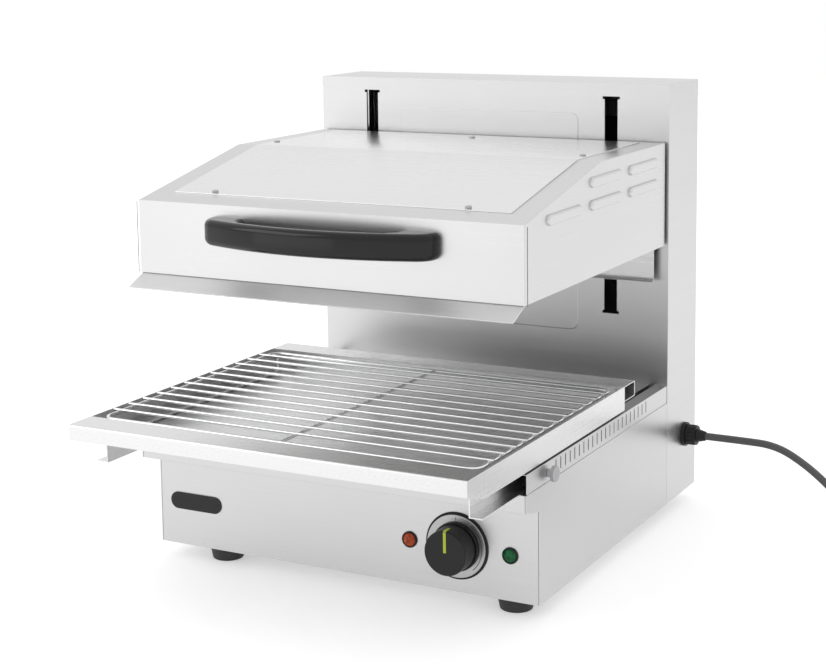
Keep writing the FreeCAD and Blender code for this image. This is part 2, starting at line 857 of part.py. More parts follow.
# Rear plate of the head: closes the shell and hangs below it as a skirt with a tilted hem.
def make_head_rear_plate():
    body = new_body("head_rear_plate")
    upper = new_sketch(body, "XZ", "skirt_y")
    half = "head_half_width - sheet - seam"
    rectangle(upper, "-(" + half + ")", "head_bottom", half, "head_top - sheet - seam")
    pad(body, upper, "sheet")
    skirt = new_sketch(body, "YZ")
    outline(skirt, [
        ("-skirt_y", "head_bottom + 1"),
        ("-skirt_y - sheet", "head_bottom + 1"),
        ("-skirt_y - sheet", "skirt_bottom"),
        ("-skirt_y - sheet - hem_reach", "skirt_bottom - hem_drop"),
        ("-skirt_y - hem_reach", "skirt_bottom - hem_drop"),
        ("-skirt_y", "skirt_bottom"),
    ])
    pad(body, skirt, "2 * skirt_half_width", middle=True)
    holes = new_sketch(body, "XZ", "skirt_y + 2 * sheet")
    for side in ("-1", "1"):
        for z in ("arm_bottom + 25", "arm_top - 25"):
            circle(holes, side + " * (slot_spread - 12)", z, "2.6")
    pocket(body, holes, "3 * sheet")


# Deflector: the sloping lip under the head's front edge, with a fold behind the front wall.
def make_deflector():
    body = new_body("deflector_lip")
    sketch = new_sketch(body, "YZ")
    back = "-head_reach + sheet + seam"
    outline(sketch, [
        (back + " + sheet", "head_bottom + 14"),
        (back, "head_bottom + 14"),
        (back, "head_bottom - seam"),
        ("-head_reach - head_lip_reach", "head_bottom - head_lip_drop"),
        ("-head_reach - head_lip_reach + 0.5", "head_bottom - head_lip_drop - sheet"),
        (back + " + sheet", "head_bottom - seam - sheet"),
    ])
    pad(body, sketch, "2 * (head_half_width - sheet - seam)", middle=True)


# Reflector: bright pan over the elements, with sloping ends and a rim that reaches the shell's walls.
def make_reflector():
    body = new_body("reflector")
    half = "(head_half_width - reflector_margin)"
    low = "reflector_z - reflector_depth"
    pan = new_sketch(body, "XZ", "head_reach - reflector_margin")
    outline(pan, [
        ("-" + half, low),
        (half, low),
        (half + " - reflector_margin * 0.7", "reflector_z"),
        ("-" + half + " + reflector_margin * 0.7", "reflector_z"),
    ])
    pad(body, pan, "head_reach - 2 * reflector_margin - skirt_y", back=True)
    floor = number(low)
    hollow(body, lambda c, n: near(c.z, floor), "reflector_sheet")
    rim = new_sketch(body, "XY", low)
    wall = "(head_half_width - sheet - seam)"
    rectangle(rim, "-" + wall, "-head_reach + 2 * sheet + 2 * seam + 0.2", wall, "-skirt_y - sheet - seam")
    rectangle(rim, "-" + half + " + reflector_sheet", "-head_reach + reflector_margin + reflector_sheet",
              half + " - reflector_sheet", "-skirt_y - reflector_margin - reflector_sheet")
    pad(body, rim, "reflector_sheet")


# Tubular element: one tube bent to and fro across the head, its two ends turned up through the reflector.
def make_element(label, first_y):
    body = loose_body(label, y=first_y, z="element_z")
    section = new_sketch(body, "YZ", "-element_run - 6")
    circle(section, "0", "0", "element_radius")
    path = new_sketch(body, "XY")
    runs = []
    for i in range(4):
        y = "%d * element_pitch" % i
        left = ("-element_run", y) if i else ("-element_run - 6", y)
        if i == 3:
            left = ("-element_run - 6", y)
        ends = (left, ("element_run", y)) if i % 2 == 0 else (("element_run", y), left)
        runs.append(line(path, ends[0], ends[1]))
        pin(path, runs[-1], 1, ends[0][0], ends[0][1])
        pin(path, runs[-1], 2, ends[1][0], ends[1][1])
    for i in range(3):
        x = "element_run" if i % 2 == 0 else "-element_run"
        y = "(%d + 0.5) * element_pitch" % i
        ring = Part.Circle(Vector(number(x), number(y), 0), Vector(0, 0, 1), number("element_pitch / 2"))
        start, end = (-math.pi / 2, math.pi / 2) if i % 2 == 0 else (math.pi / 2, 3 * math.pi / 2)
        bend = path.addGeometry(Part.ArcOfCircle(ring, start, end), False)
        first, second = (1, 2) if i % 2 == 0 else (2, 1)
        path.addConstraint(Sketcher.Constraint("Coincident", runs[i], 2, bend, first))
        path.addConstraint(Sketcher.Constraint("Coincident", runs[i + 1], 1, bend, second))
        limit(path, "DistanceX", -1, 1, bend, 3, x)
    made = feature(body, "AdditivePipe", section)
    made.Spine = (path, [])
    path.Visibility = False
    return body


# Hangers: strips across the elements, hooked to the reflector.
def make_element_hanger(label, x):
    body = loose_body(label, x, z="element_z")
    strip = new_sketch(body, "YZ")
    first = "-element_front_y - 14"
    last = "-element_front_y + 7 * element_pitch + 14"
    rectangle(strip, first, "element_radius + 0.3", last, "reflector_z - element_z - reflector_sheet")
    pad(body, strip, "2", middle=True)
    return body


# Lift arms: thick plates that run from the head's rear plate through the column's slots.
def make_lift_arms():
    arms = []
    for word, side in SIDES:
        body = loose_body("lift_arm_" + word, side + " * slot_spread")
        plate = new_sketch(body, "YZ")
        rectangle(plate, "-skirt_y", "arm_bottom", "arm_back_y", "arm_top")
        pad(body, plate, "arm_thickness", middle=True)
        soften(body, "arm_thickness", lambda m, e: along_x(e) and m.y > 0)
        arms.append(body)
    group("lift_arms", arms)


# Crossbar between the two arms, where the ropes are anchored.
def make_crossbar():
    body = new_body("carriage_crossbar", y="pulley_y - rope_pitch_radius", z="arm_bottom")
    sketch = new_sketch(body, "XY")
    half = "slot_spread - arm_thickness / 2"
    rectangle(sketch, "-(" + half + ")", "-9", half, "9")
    pad(body, sketch, "crossbar_height")


# Guide blocks: plastic bearings on the rods, two bolted to the outside of each arm.
def make_guide_blocks():
    blocks = []
    reach = "(rod_spread - slot_spread - arm_thickness / 2)"
    for word, side in SIDES:
        for level, z in (("lower", "arm_bottom"), ("upper", "arm_top - block_height")):
            body = loose_body("guide_block_" + level + "_" + word, side + " * rod_spread", "rod_y", z)
            sketch = new_sketch(body, "XY")
            left, right = ("-" + reach, "block_width / 2") if side == "1" else ("-block_width / 2", reach)
            rectangle(sketch, left, "-block_depth / 2", right, "block_depth / 2")
            circle(sketch, "0", "0", "rod_radius + rod_clearance")
            pad(body, sketch, "block_height")
            blocks.append(body)
    group("guide_blocks", blocks)


# Handle: a black moulded bow with broad feet, bevelled along its front.
def make_handle():
    body = new_body("handle", y="-head_reach", z="handle_z")
    bow = new_sketch(body, "XY")
    half = number("handle_half_length")
    reach = number("handle_reach")
    thick = number("handle_thickness")
    slope = math.radians(number("handle_slope"))
    # the outer side: each foot, a round shoulder, then one long shallow arc
    shoulder = number("handle_shoulder")
    shoulder_end_x = half - shoulder * (1 - math.sin(slope))
    bow_radius = shoulder_end_x / math.sin(slope)
    bow_centre_y = bow_radius - reach
    shoulder_end_y = bow_centre_y - bow_radius * math.cos(slope)
    shoulder_y = shoulder_end_y + shoulder * math.cos(slope)
    # the inner side: straight foot, a tighter bend, and an arc with the same centre
    foot_x = half - number("handle_foot")
    bend = number("handle_inner_bend")
    inner_radius = bow_radius - thick
    bend_x = foot_x - bend
    bend_y = bow_centre_y - math.sqrt((inner_radius - bend) ** 2 - bend_x ** 2)
    inner_share = inner_radius / (inner_radius - bend)

    def on_arc(x, y, radius, degrees):
        return Vector(x + radius * math.cos(math.radians(degrees)), y + radius * math.sin(math.radians(degrees)), 0)

    outer = [
        Vector(half, 0, 0),
        Vector(half, shoulder_y, 0),
        on_arc(half - shoulder, shoulder_y, shoulder, -45),
        Vector(shoulder_end_x, shoulder_end_y, 0),
    ]
    bend_end = Vector(bend_x * inner_share, bow_centre_y + (bend_y - bow_centre_y) * inner_share, 0)
    inner = [
        Vector(foot_x, 0, 0),
        Vector(foot_x, bend_y, 0),
        on_arc(bend_x, bend_y, bend, -45),
        bend_end,
    ]

    def flip(point):
        return Vector(-point.x, point.y, 0)

    pieces = []
    for foot, straight_end, middle, arc_end in (outer, inner):
        pieces.append(Part.LineSegment(foot, straight_end))
        pieces.append(Part.Arc(straight_end, middle, arc_end))
        pieces.append(Part.Arc(flip(arc_end), flip(middle), flip(straight_end)))
        pieces.append(Part.LineSegment(flip(straight_end), flip(foot)))
    pieces.append(Part.Arc(outer[3], Vector(0, -reach, 0), flip(outer[3])))
    pieces.append(Part.Arc(inner[3], Vector(0, thick - reach, 0), flip(inner[3])))
    pieces.append(Part.LineSegment(outer[0], inner[0]))
    pieces.append(Part.LineSegment(flip(outer[0]), flip(inner[0])))
    for piece in pieces:
        bow.addGeometry(piece, False)
    pad(body, bow, "handle_height", middle=True)
    top = number("handle_height / 2")

    def outside(m):
        return abs(m.x) > half - shoulder or m.y < -reach + 2

    soften(body, "handle_edge", lambda m, e: near(abs(m.z), top) and m.y < -1 and outside(m))
    soften(body, "handle_inner_edge", lambda m, e: near(abs(m.z), top) and m.y < -1 and not outside(m))


# Rack pan: floor, two side walls and rear wall, from one sheet.
def make_rack_pan():
    body = new_body("rack_pan")
    sketch = new_sketch(body, "XY", "rack_bottom")
    rectangle(sketch, "-rack_half_width", "-rack_reach + bar_depth + seam", "rack_half_width", "-pan_rear_y")
    pad(body, sketch, "rack_top - rack_bottom")
    top = number("rack_top")
    front = number("-rack_reach + bar_depth + seam")
    hollow(body, lambda c, n: near(c.z, top) or near(c.y, front))


# Front bar: the folded grip at the rack's front, open below.
def make_rack_front_bar():
    body = new_body("rack_front_bar")
    sketch = new_sketch(body, "YZ")
    outline(sketch, [
        ("-rack_reach", "bar_face_bottom"),
        ("-rack_reach + bar_depth", "rack_bottom"),
        ("-rack_reach + bar_depth", "rack_top"),
        ("-rack_reach", "rack_top"),
    ])
    pad(body, sketch, "2 * rack_half_width", middle=True)
    front = number("-rack_reach")
    top = number("rack_top")
    soften(body, "2.5", lambda m, e: near(m.y, front) and near(m.z, top))
    rear = number("-rack_reach + bar_depth")
    hollow(body, lambda c, n: n.z < -0.5 and c.y < rear - 1)


# Rear bar: a channel along the rack's back, its ends left open.
def make_rack_rear_bar():
    body = new_body("rack_rear_bar")
    sketch = new_sketch(body, "YZ")
    rectangle(sketch, "-pan_rear_y", "rear_bar_bottom", "-pan_rear_y + rear_bar_depth", "rack_top")
    pad(body, sketch, "2 * rack_half_width", middle=True)
    front = number("-pan_rear_y")
    half = number("rack_half_width")
    hollow(body, lambda c, n: near(c.y, front) or near(abs(c.x), half))


# Slide rail: a web that drops through the deck's slot and a flange that runs on the side panel.
def make_rack_rail(label, side):
    body = new_body(label, side + " * rail_web_x", "-rail_front_y")
    inward = side == "-1"
    web = new_sketch(body, "YZ")
    rectangle(web, "0", "side_height + rail_clearance", "rail_length", "rack_bottom")
    pad(body, web, "rail_thickness", back=inward)
    flange = new_sketch(body, "YZ")
    rectangle(flange, "0", "side_height + rail_clearance", "rail_length",
              "side_height + rail_clearance + rail_thickness")
    pad(body, flange, "rail_flange", back=inward)


# Wire grid: a rounded frame wire, cross rods welded on top of it and a middle rod under them.
def make_wire_grid():
    depth = number("(grid_rod_count + 1) * grid_pitch")
    front = number("-grid_front_y")
    half = number("grid_half_width")
    corner = number("grid_corner")
    wire = number("grid_frame_radius")
    rod = number("grid_rod_radius")
    level = number("grid_z")
    back = front + depth
    ends = [
        Vector(-half + corner, front, level), Vector(half - corner, front, level),
        Vector(half, front + corner, level), Vector(half, back - corner, level),
        Vector(half - corner, back, level), Vector(-half + corner, back, level),
        Vector(-half, back - corner, level), Vector(-half, front + corner, level),
    ]
    centres = [
        Vector(half - corner, front + corner, level), Vector(half - corner, back - corner, level),
        Vector(-half + corner, back - corner, level), Vector(-half + corner, front + corner, level),
    ]
    edges = []
    for i in range(4):
        edges.append(Part.LineSegment(ends[2 * i], ends[2 * i + 1]).toShape())
        start, end = ends[2 * i + 1], ends[(2 * i + 2) % 8]
        outward = (start + end - centres[i] * 2).normalize()
        edges.append(Part.Arc(start, centres[i] + outward * corner, end).toShape())
    ring = Part.Wire(Part.Circle(ends[0], Vector(1, 0, 0), wire).toShape())
    frame = Part.Wire(edges).makePipeShell([ring], True, False)
    overhang = number("grid_overhang")
    weld = number("grid_weld")
    rods = []
    for i in range(int(number("grid_rod_count"))):
        start = Vector(-half - overhang, front + (i + 1) * number("grid_pitch"), level + wire + rod - weld)
        rods.append(Part.makeCylinder(rod, 2 * (half + overhang), start, Vector(1, 0, 0)))
    rods.append(Part.makeCylinder(rod, depth, Vector(0, front, level), Vector(0, 1, 0)))
    grid = doc.addObject("Part::Feature", "wire_grid_wires")
    grid.Shape = frame.multiFuse(rods)
    put(grid)
    node(grid, "wire_grid")


# Runners: a bent wire under each side of the grid, hooked to its front and back and standing in the pan.
def make_grid_runners():
    depth = number("(grid_rod_count + 1) * grid_pitch")
    bend = number("runner_bend")
    wire = number("runner_radius")
    top = number("grid_z - grid_frame_radius - runner_radius + grid_weld")
    low = number("rack_bottom + sheet + runner_radius + 0.3")
    front = number("-grid_front_y")
    back = front + depth
    turn = bend * (1 - math.sqrt(0.5))
    runners = []
    for word, side in SIDES:
        x = number(side + " * (grid_half_width - runner_inset)")
        corners = [
            (Vector(x, front, top), None),
            (Vector(x, front + 16 - bend, top), Vector(x, front + 16 - turn, top - turn)),
            (Vector(x, front + 16, top - bend), None),
            (Vector(x, front + 16, low + bend), Vector(x, front + 16 + turn, low + turn)),
            (Vector(x, front + 16 + bend, low), None),
            (Vector(x, back - bend - 4, low), Vector(x, back - 4 - turn, low + turn)),
            (Vector(x, back - 4, low + bend), None),
            (Vector(x, back - 4, top), None),
        ]
        edges = []
        for i in range(len(corners) - 1):
            start, through = corners[i]
            end = corners[i + 1][0]
            if through is None:
                edges.append(Part.LineSegment(start, end).toShape())
            else:
                edges.append(Part.Arc(start, through, end).toShape())
        ring = Part.Wire(Part.Circle(corners[0][0], Vector(0, 1, 0), wire).toShape())
        runner = doc.addObject("Part::Feature", "grid_runner_" + word)
        runner.Shape = Part.Wire(edges).makePipeShell([ring], True, False)
        put(runner)
        runners.append(runner)
    group("grid_runners", runners)


# Thumb screw: threaded shank through the vented rail, small collar, flat round disc.
def make_thumb_screw(label, side):
    body = new_body(label, side + " * (base_width / 2 - vent_inset)", "-thumb_hole_y", "thumb_hole_z")
    out = side == "-1"
    shank = new_sketch(body, "YZ", side + " * -(base_width / 2 - vent_inset - rail_web_x - rail_thickness - 0.4)")
    circle(shank, "0", "0", "thumb_screw_radius")
    pad(body, shank, "base_width / 2 - vent_inset - rail_web_x - rail_thickness + 6", back=out)
    collar = new_sketch(body, "YZ", side + " * 0.3")
    circle(collar, "0", "0", "thumb_screw_radius + 1.6")
    pad(body, collar, "4", back=out)
    disc = new_sketch(body, "YZ", side + " * 5.5")
    circle(disc, "0", "0", "thumb_screw_radius + 5.5")
    pad(body, disc, "4", back=out)
    face = number(side + " * 9.5")
    soften(body, "0.8", lambda m, e: near(m.x, face))


# Control knob: skirted cap that tapers to the front, on a shaft with a flat.
def make_knob():
    body = new_body("control_knob", "knob_x", "-base_reach", "knob_z")
    sketch = new_sketch(body, "XY")
    outline(sketch, [
        ("0", "-knob_front"),
        ("0", "-6"),
        ("knob_base_radius - 4", "-6"),
        ("knob_base_radius - 4", "-3.5"),
        ("knob_base_radius", "-3.5"),
        ("knob_base_radius", "-5.5"),
        ("knob_radius + 0.6", "-8"),
        ("knob_radius", "-knob_front + 2"),
        ("knob_radius - 2", "-knob_front"),
    ])
    revolve(body, sketch)
    groove = pointer_side(body, "3")
    pocket(body, groove, "pointer_width + 0.1", middle=True)


def pointer_side(body, rise):
    """Side view of the pointer, or of its groove: up the cap's front, over its edge and back along the side."""
    side = new_sketch(body, "YZ")
    outline(side, [
        ("-knob_front - " + rise, "0"),
        ("-knob_front + 1", "0"),
        ("-knob_front + 1", "knob_radius - 2.4"),
        ("-knob_front + 2.4", "knob_radius - 1"),
        ("-knob_front + pointer_wrap", "knob_radius - 1"),
        ("-knob_front + pointer_wrap", "knob_radius + " + rise),
        ("-knob_front + 2", "knob_radius + " + rise),
        ("-knob_front - " + rise, "knob_radius - 2"),
    ])
    return side


def make_knob_pointer():
    body = new_body("knob_pointer", "knob_x", "-base_reach", "knob_z")
    bar = pointer_side(body, "0.4")
    pad(body, bar, "pointer_width", middle=True)


def make_knob_shaft():
    body = new_body("knob_shaft", "knob_x", "-base_reach", "knob_z")
    sketch = new_sketch(body, "XZ", "6")
    circle(sketch, "0", "0", "shaft_radius")
    pad(body, sketch, "6 + sheet + 6", back=True)


# Bezel: dark backing ring and brushed dial ring under the knob.
def make_bezel_backing():
    body = new_body("bezel_backing", "knob_x", "-base_reach", "knob_z")
    sketch = new_sketch(body, "XZ")
    circle(sketch, "0", "0", "bezel_radius")
    circle(sketch, "0", "0", "shaft_radius + 5")
    pad(body, sketch, "1.4")


def make_bezel_ring():
    body = new_body("bezel_ring", "knob_x", "-base_reach", "knob_z")
    sketch = new_sketch(body, "XY")
    outline(sketch, [
        ("shaft_radius + 5", "-1.4"),
        ("bezel_plate_radius", "-1.4"),
        ("bezel_plate_radius - 0.8", "-3"),
        ("shaft_radius + 5", "-3"),
    ])
    revolve(body, sketch)


# Energy regulator behind the front panel, on its threaded neck.
def make_regulator():
    body = new_body("energy_regulator", "knob_x", "-base_reach + sheet", "knob_z")
    case = new_sketch(body, "XZ", "-4")
    rounded(case, "-regulator_width / 2", "-regulator_width / 2", "regulator_width / 2", "regulator_width / 2", "3")
    pad(body, case, "regulator_depth", back=True)
    neck = new_sketch(body, "XZ")
    circle(neck, "0", "0", "shaft_radius + 3")
    pad(body, neck, "5", back=True)
    bore = new_sketch(body, "XZ", "1")
    circle(bore, "0", "0", "shaft_radius + shaft_clearance")
    pocket(body, bore, "10")


# Pilot lamp: domed lens in a dark rim, with its housing behind the panel.
def make_lamp(label, x):
    body = new_body(label, x, "-base_reach", "lamp_z")
    sketch = new_sketch(body, "XY")
    outline(sketch, [
        ("0", "sheet + 14"),
        ("lamp_radius - 2.2", "sheet + 14"),
        ("lamp_radius - 2.2", "-1"),
        ("lamp_radius - 1.4", "-1.2"),
        ("lamp_radius - 2.6", "-lamp_rise + 0.8"),
        ("lamp_radius - 5.5", "-lamp_rise"),
        ("0", "-lamp_rise - 0.3"),
    ])
    revolve(body, sketch)


def make_lamp_rim(label, x):
    body = loose_body(label, x, "-base_reach", "lamp_z")
    sketch = new_sketch(body, "XY")
    outline(sketch, [
        ("lamp_radius - 2.2", "0"),
        ("lamp_radius", "0"),
        ("lamp_radius", "-1.2"),
        ("lamp_radius - 0.6", "-2"),
        ("lamp_radius - 1.4", "-2"),
        ("lamp_radius - 1.4", "-1.2"),
        ("lamp_radius - 2.2", "-1"),
    ])
    revolve(body, sketch)
    return body


def make_nameplate():
    body = new_body("nameplate", "nameplate_x", "-base_reach", "nameplate_z")
    sketch = new_sketch(body, "XZ")
    slot(sketch, "0", "0", "nameplate_length", "nameplate_height", False)
    pad(body, sketch, "1")


# Terminal block for the mains lead, on the bottom pan inside the column.
def make_terminal_block():
    body = new_body("terminal_block", "base_width / 2 - 60", "gland_y", "sheet")
    sketch = new_sketch(body, "XY")
    rectangle(sketch, "-22", "-13", "22", "13")
    pad(body, sketch, "20")
    wells = new_sketch(body, "XY", "20")
    circle(wells, "-15", "0", "3.2")
    cut = pocket(body, wells, "11")
    repeat(body, cut, wells, "H_Axis", "10", "4")


# Screws of the head's top plate and of the column's rear cover.
def make_top_screws():
    rise = "(head_top - head_front_top) / (head_reach - head_bend_y)"
    tilt = math.degrees(math.atan(number(rise)))
    screws = []
    for i, (x, y, sloping) in enumerate((
            ("-147.5", "-plate_front_y + 5", True), ("147.5", "-plate_front_y + 5", True),
            ("-plate_half_width + 7", "-head_bend_y + 30", False),
            ("plate_half_width - 7", "-head_bend_y + 30", False),
            ("0", "-plate_rear_y - 28", False))):
        screw = cylinder("top_screw_%d" % i, "screw_head_radius", "screw_head_height")
        lift = "head_top - ((-1) * (" + y + ") - head_bend_y) * " + rise if sloping else "head_top"
        if sloping:
            screw.Placement.Rotation = FreeCAD.Rotation(Vector(1, 0, 0), tilt)
        put(screw, x, y, lift + " + plate_thickness")
        screws.append(screw)
    group("top_plate_screws", screws)


def make_back_screws():
    screws = []
    for i in range(8):
        side = "-1" if i % 2 else "1"
        z = "8 + %d * (column_height - 16) / 3" % (i // 2)
        screw = cylinder("back_screw_%d" % i, "screw_head_radius", "screw_head_height", "y")
        put(screw, side + " * (base_width / 2 - 8)", "column_depth", z)
        screws.append(screw)
    group("back_screws", screws)


# Cable gland in the column's right side, and its tapered clamping nut.
def make_gland():
    body = new_body("cord_gland", "base_width / 2", "gland_y", "gland_z")
    sketch = new_sketch(body, "XY")
    outline(sketch, [
        ("0", "0"),
        ("gland_neck", "0"),
        ("gland_neck", "gland_radius"),
        ("gland_neck - 1", "gland_flange_radius"),
        ("0", "gland_flange_radius"),
    ])
    revolve(body, sketch, "H_Axis")


def make_gland_nut():
    body = new_body("gland_nut", "base_width / 2", "gland_y", "gland_z")
    sketch = new_sketch(body, "XY")
    outline(sketch, [
        ("gland_neck", "0"),
        ("gland_length", "0"),
        ("gland_length", "cord_radius + 2.4"),
        ("gland_length - 5", "gland_radius - 3.5"),
        ("gland_neck + 10", "gland_radius - 0.4"),
        ("gland_neck", "gland_radius - 0.4"),
    ])
    revolve(body, sketch, "H_Axis")


# Mains lead, in the machine's own frame: out of the gland, down to the worktop and along it.
def lead_route():
    """The lead's hand-placed points, from the gland's nut down to the worktop and on to the coil."""
    start = Vector(number("base_width / 2 + gland_length"), number(COLUMN_FRONT + " + gland_y"),
                   number("foot_height + gland_z"))
    rest = number("cord_rest")
    coil_start = Vector(number("coil_x - 2 * cord_radius"), number("coil_y + coil_radius"), rest)
    return [
        start,
        start + Vector(42, 0, 0),
        start + Vector(84, 0.6, -1),
        start + Vector(120, 1.8, -21),
        start + Vector(150, 2.7, -46),
        coil_start - Vector(50, 0, 0),
        coil_start,
    ]


def rounded_path(points):
    """Straight runs through the points, joined by arcs that take 0.45 of the shorter run beside them."""
    edges = []
    radii = []
    last = points[0]
    for before, corner, after in zip(points, points[1:], points[2:]):
        back = (before - corner).normalize()
        ahead = (after - corner).normalize()
        reach = 0.45 * min((before - corner).Length, (after - corner).Length)
        half_turn = (math.pi - back.getAngle(ahead)) / 2
        radii.append(reach / math.tan(half_turn))
        start, end = corner + back * reach, corner + ahead * reach
        inward = (back + ahead).normalize()
        through = corner + inward * (radii[-1] / math.cos(half_turn) - radii[-1])
        edges.append(Part.LineSegment(last, start).toShape())
        edges.append(Part.Arc(start, through, end).toShape())
        last = end
    edges.append(Part.LineSegment(last, points[-1]).toShape())
    return Part.Wire(edges), radii


def sweep_tube(path, start, way, radius):
    ring = Part.Wire(Part.Circle(start, way, radius).toShape())
    return path.makePipeShell([ring], True, False)


def make_lead():
    points = lead_route()
    path, radii = rounded_path(points)
    radius = number("cord_radius")
    cord = doc.addObject("Part::Feature", "lead_tube")
    cord.Shape = sweep_tube(path, points[0], points[1] - points[0], radius)
    node(cord, "power_cord")
    print("lead radii", [round(r) for r in radii], "length", round(path.Length),
          "volume ratio", round(cord.Shape.Volume / (math.pi * radius ** 2 * path.Length), 4))


# The spare length lies coiled on the worktop: it spirals in, climbs a layer and spirals out again.
def coil_place(turn):
    """Where the coil's middle line is after a number of turns."""
    turned = number("coil_turns_in")
    pitch = number("coil_pitch")
    radius = number("coil_radius") - pitch * min(turn, turned) + pitch * max(turn - turned, 0)
    climb = min(max(turn - turned + 0.25, 0) / 0.5, 1)
    angle = math.pi / 2 - 2 * math.pi * turn
    return Vector(
        number("coil_x") + radius * math.cos(angle),
        number("coil_y") + radius * math.sin(angle),
        number("cord_rest") + number("coil_layer") * climb * climb * (3 - 2 * climb),
    )


def half_biarc(start, way, end):
    """The arc that leaves start along way and reaches end."""
    chord = end - start
    side = (chord - way * chord.dot(way)).normalize()
    radius = chord.Length ** 2 / (2 * chord.dot(side))
    centre = start + side * radius
    through = centre + ((start - centre) + (end - centre)).normalize() * radius
    return Part.Arc(start, through, end).toShape()


def biarc(start, way, end, end_way):
    """Two arcs with a common tangent, from one point and direction to another."""
    chord = end - start
    both = way + end_way
    spread = 2 * (1 - way.dot(end_way))
    lean = chord.dot(both)
    reach = (math.sqrt(lean ** 2 + spread * chord.dot(chord)) - lean) / spread
    joint = (start + way * reach + end - end_way * reach) * 0.5
    first = half_biarc(start, way, joint)
    second = half_biarc(end, end_way * -1, joint)
    return [first, second]


def make_coil():
    radius = number("cord_radius")
    total = number("coil_turns_in + coil_turns_out")
    quarters = int(round(total * 4))
    places = [coil_place(i / 4) for i in range(quarters + 1)]
    ways = []
    for i in range(quarters + 1):
        ways.append((coil_place(i / 4 + 0.01) - coil_place(i / 4 - 0.01)).normalize())
    ways[0] = Vector(1, 0, 0)
    ways[-1] = Vector(0, -1, 0)
    start = places[0] - ways[0] * (2 * radius)
    end = places[-1] + ways[-1] * number("coil_tail")
    edges = [Part.LineSegment(start, places[0]).toShape()]
    for i in range(quarters):
        edges += biarc(places[i], ways[i], places[i + 1], ways[i + 1])
    edges.append(Part.LineSegment(places[-1], end).toShape())
    path = Part.Wire(edges)
    coil = doc.addObject("Part::Feature", "lead_coil")
    coil.Shape = sweep_tube(path, start, ways[0], radius)
    node(coil, "cord_coil")
    print("coil length", round(path.Length), "volume ratio",
          round(coil.Shape.Volume / (math.pi * radius ** 2 * path.Length), 4), "least gap", round(coil_gap(path), 2))


def coil_gap(path):
    """The least gap between the coil's turns, from points along its middle line."""
    step = 4.0
    points = path.discretize(Distance=step)
    apart = int(60 / step)
    gap = min((points[i] - points[j]).Length for i in range(len(points)) for j in range(i + apart, len(points)))
    return gap - 2 * number("cord_radius")


# Moulded plug: ribbed neck, flat body and two round pins, lying beside the coil.
def make_plug():
    body = doc.addObject("PartDesign::Body", "plug_body")
    tie(body, "Placement.Base.x", "coil_x + coil_radius - coil_pitch * (coil_turns_in - coil_turns_out)")
    tie(body, "Placement.Base.y", "coil_y - coil_tail")
    tie(body, "Placement.Base.z", "cord_rest + coil_layer")
    node(body, "plug")
    sections = []
    for offset, width, height, corner in (
            ("0", "13", "13", "6.2"),
            ("plug_neck_length", "18", "18", "8"),
            ("plug_neck_length + plug_shoulder", "plug_width", "plug_height", "9")):
        section = new_sketch(body, "XZ", offset)
        rounded(section, "-(" + width + ") / 2", "-(" + height + ") / 2",
                "(" + width + ") / 2", "(" + height + ") / 2", corner)
        sections.append(section)
    loft = body.newObject("PartDesign::AdditiveLoft", "plug_shape")
    loft.Profile = sections[0]
    loft.Sections = sections[1:]
    loft.Ruled = True
    front = new_sketch(body, "XZ", "plug_neck_length + plug_shoulder")
    rounded(front, "-plug_width / 2", "-plug_height / 2", "plug_width / 2", "plug_height / 2", "9")
    pad(body, front, "plug_body_length")
    pins = new_sketch(body, "XZ", "plug_neck_length + plug_shoulder + plug_body_length")
    circle(pins, "-pin_spacing / 2", "0", "pin_radius")
    circle(pins, "pin_spacing / 2", "0", "pin_radius")
    pad(body, pins, "pin_length")


make_front_panel()
make_bottom_pan()
make_deck()
make_foot("foot_front_left", "front_left_foot_x", "-front_foot_y")
make_foot("foot_front_right", "front_right_foot_x", "-front_foot_y")
for word, side in SIDES:
    make_side_panel("side_panel_" + word, side)
    make_vent_rail("vent_rail_" + word, side)
    make_foot("foot_rear_" + word, side + " * rear_foot_x", "rear_foot_y")
    make_thumb_screw("thumb_screw_" + word, side)
    make_rack_rail("rack_rail_" + word, side)
    make_pulley("pulley_" + word, side)
make_column_shell()
make_column_back()
make_back_screws()
make_guide_rods()
group("rod_brackets", [
    make_bracket("rod_bracket_lower", "rod_foot_height - bracket_height", "lower_bracket_depth", False),
    make_bracket("rod_bracket_upper", "column_height - sheet - bracket_height", "upper_bracket_depth", True),
])
make_pulley_hangers()
make_rope_strands("rope_front_strands", "pulley_y - rope_pitch_radius", "arm_bottom + crossbar_height")
make_rope_strands("rope_back_strands", "pulley_y + rope_pitch_radius", "weight_top")
make_rope_wraps()
make_counterweight()
make_head_shell()
make_head_top_plate()
make_top_screws()
make_head_rear_plate()
make_deflector()
make_reflector()
group("heating_elements", [
    make_element("element_front", "-element_front_y"),
    make_element("element_rear", "-element_front_y + 4 * element_pitch"),
])
group("element_hangers", [
    make_element_hanger("element_hanger_left", "-element_run / 2"),
    make_element_hanger("element_hanger_right", "element_run / 2"),
])
make_handle()
make_lift_arms()
make_guide_blocks()
make_crossbar()
make_rack_pan()
make_rack_front_bar()
make_rack_rear_bar()
make_wire_grid()
make_grid_runners()
make_knob()
make_knob_pointer()
make_knob_shaft()
make_bezel_backing()
make_bezel_ring()
make_regulator()
make_lamp("lamp_amber", "amber_lamp_x")
make_lamp("lamp_green", "green_lamp_x")
group("lamp_rims", [
    make_lamp_rim("lamp_rim_amber", "amber_lamp_x"),
    make_lamp_rim("lamp_rim_green", "green_lamp_x"),
])
make_nameplate()
make_terminal_block()
make_gland()
make_gland_nut()
make_lead()
make_coil()
make_plug()

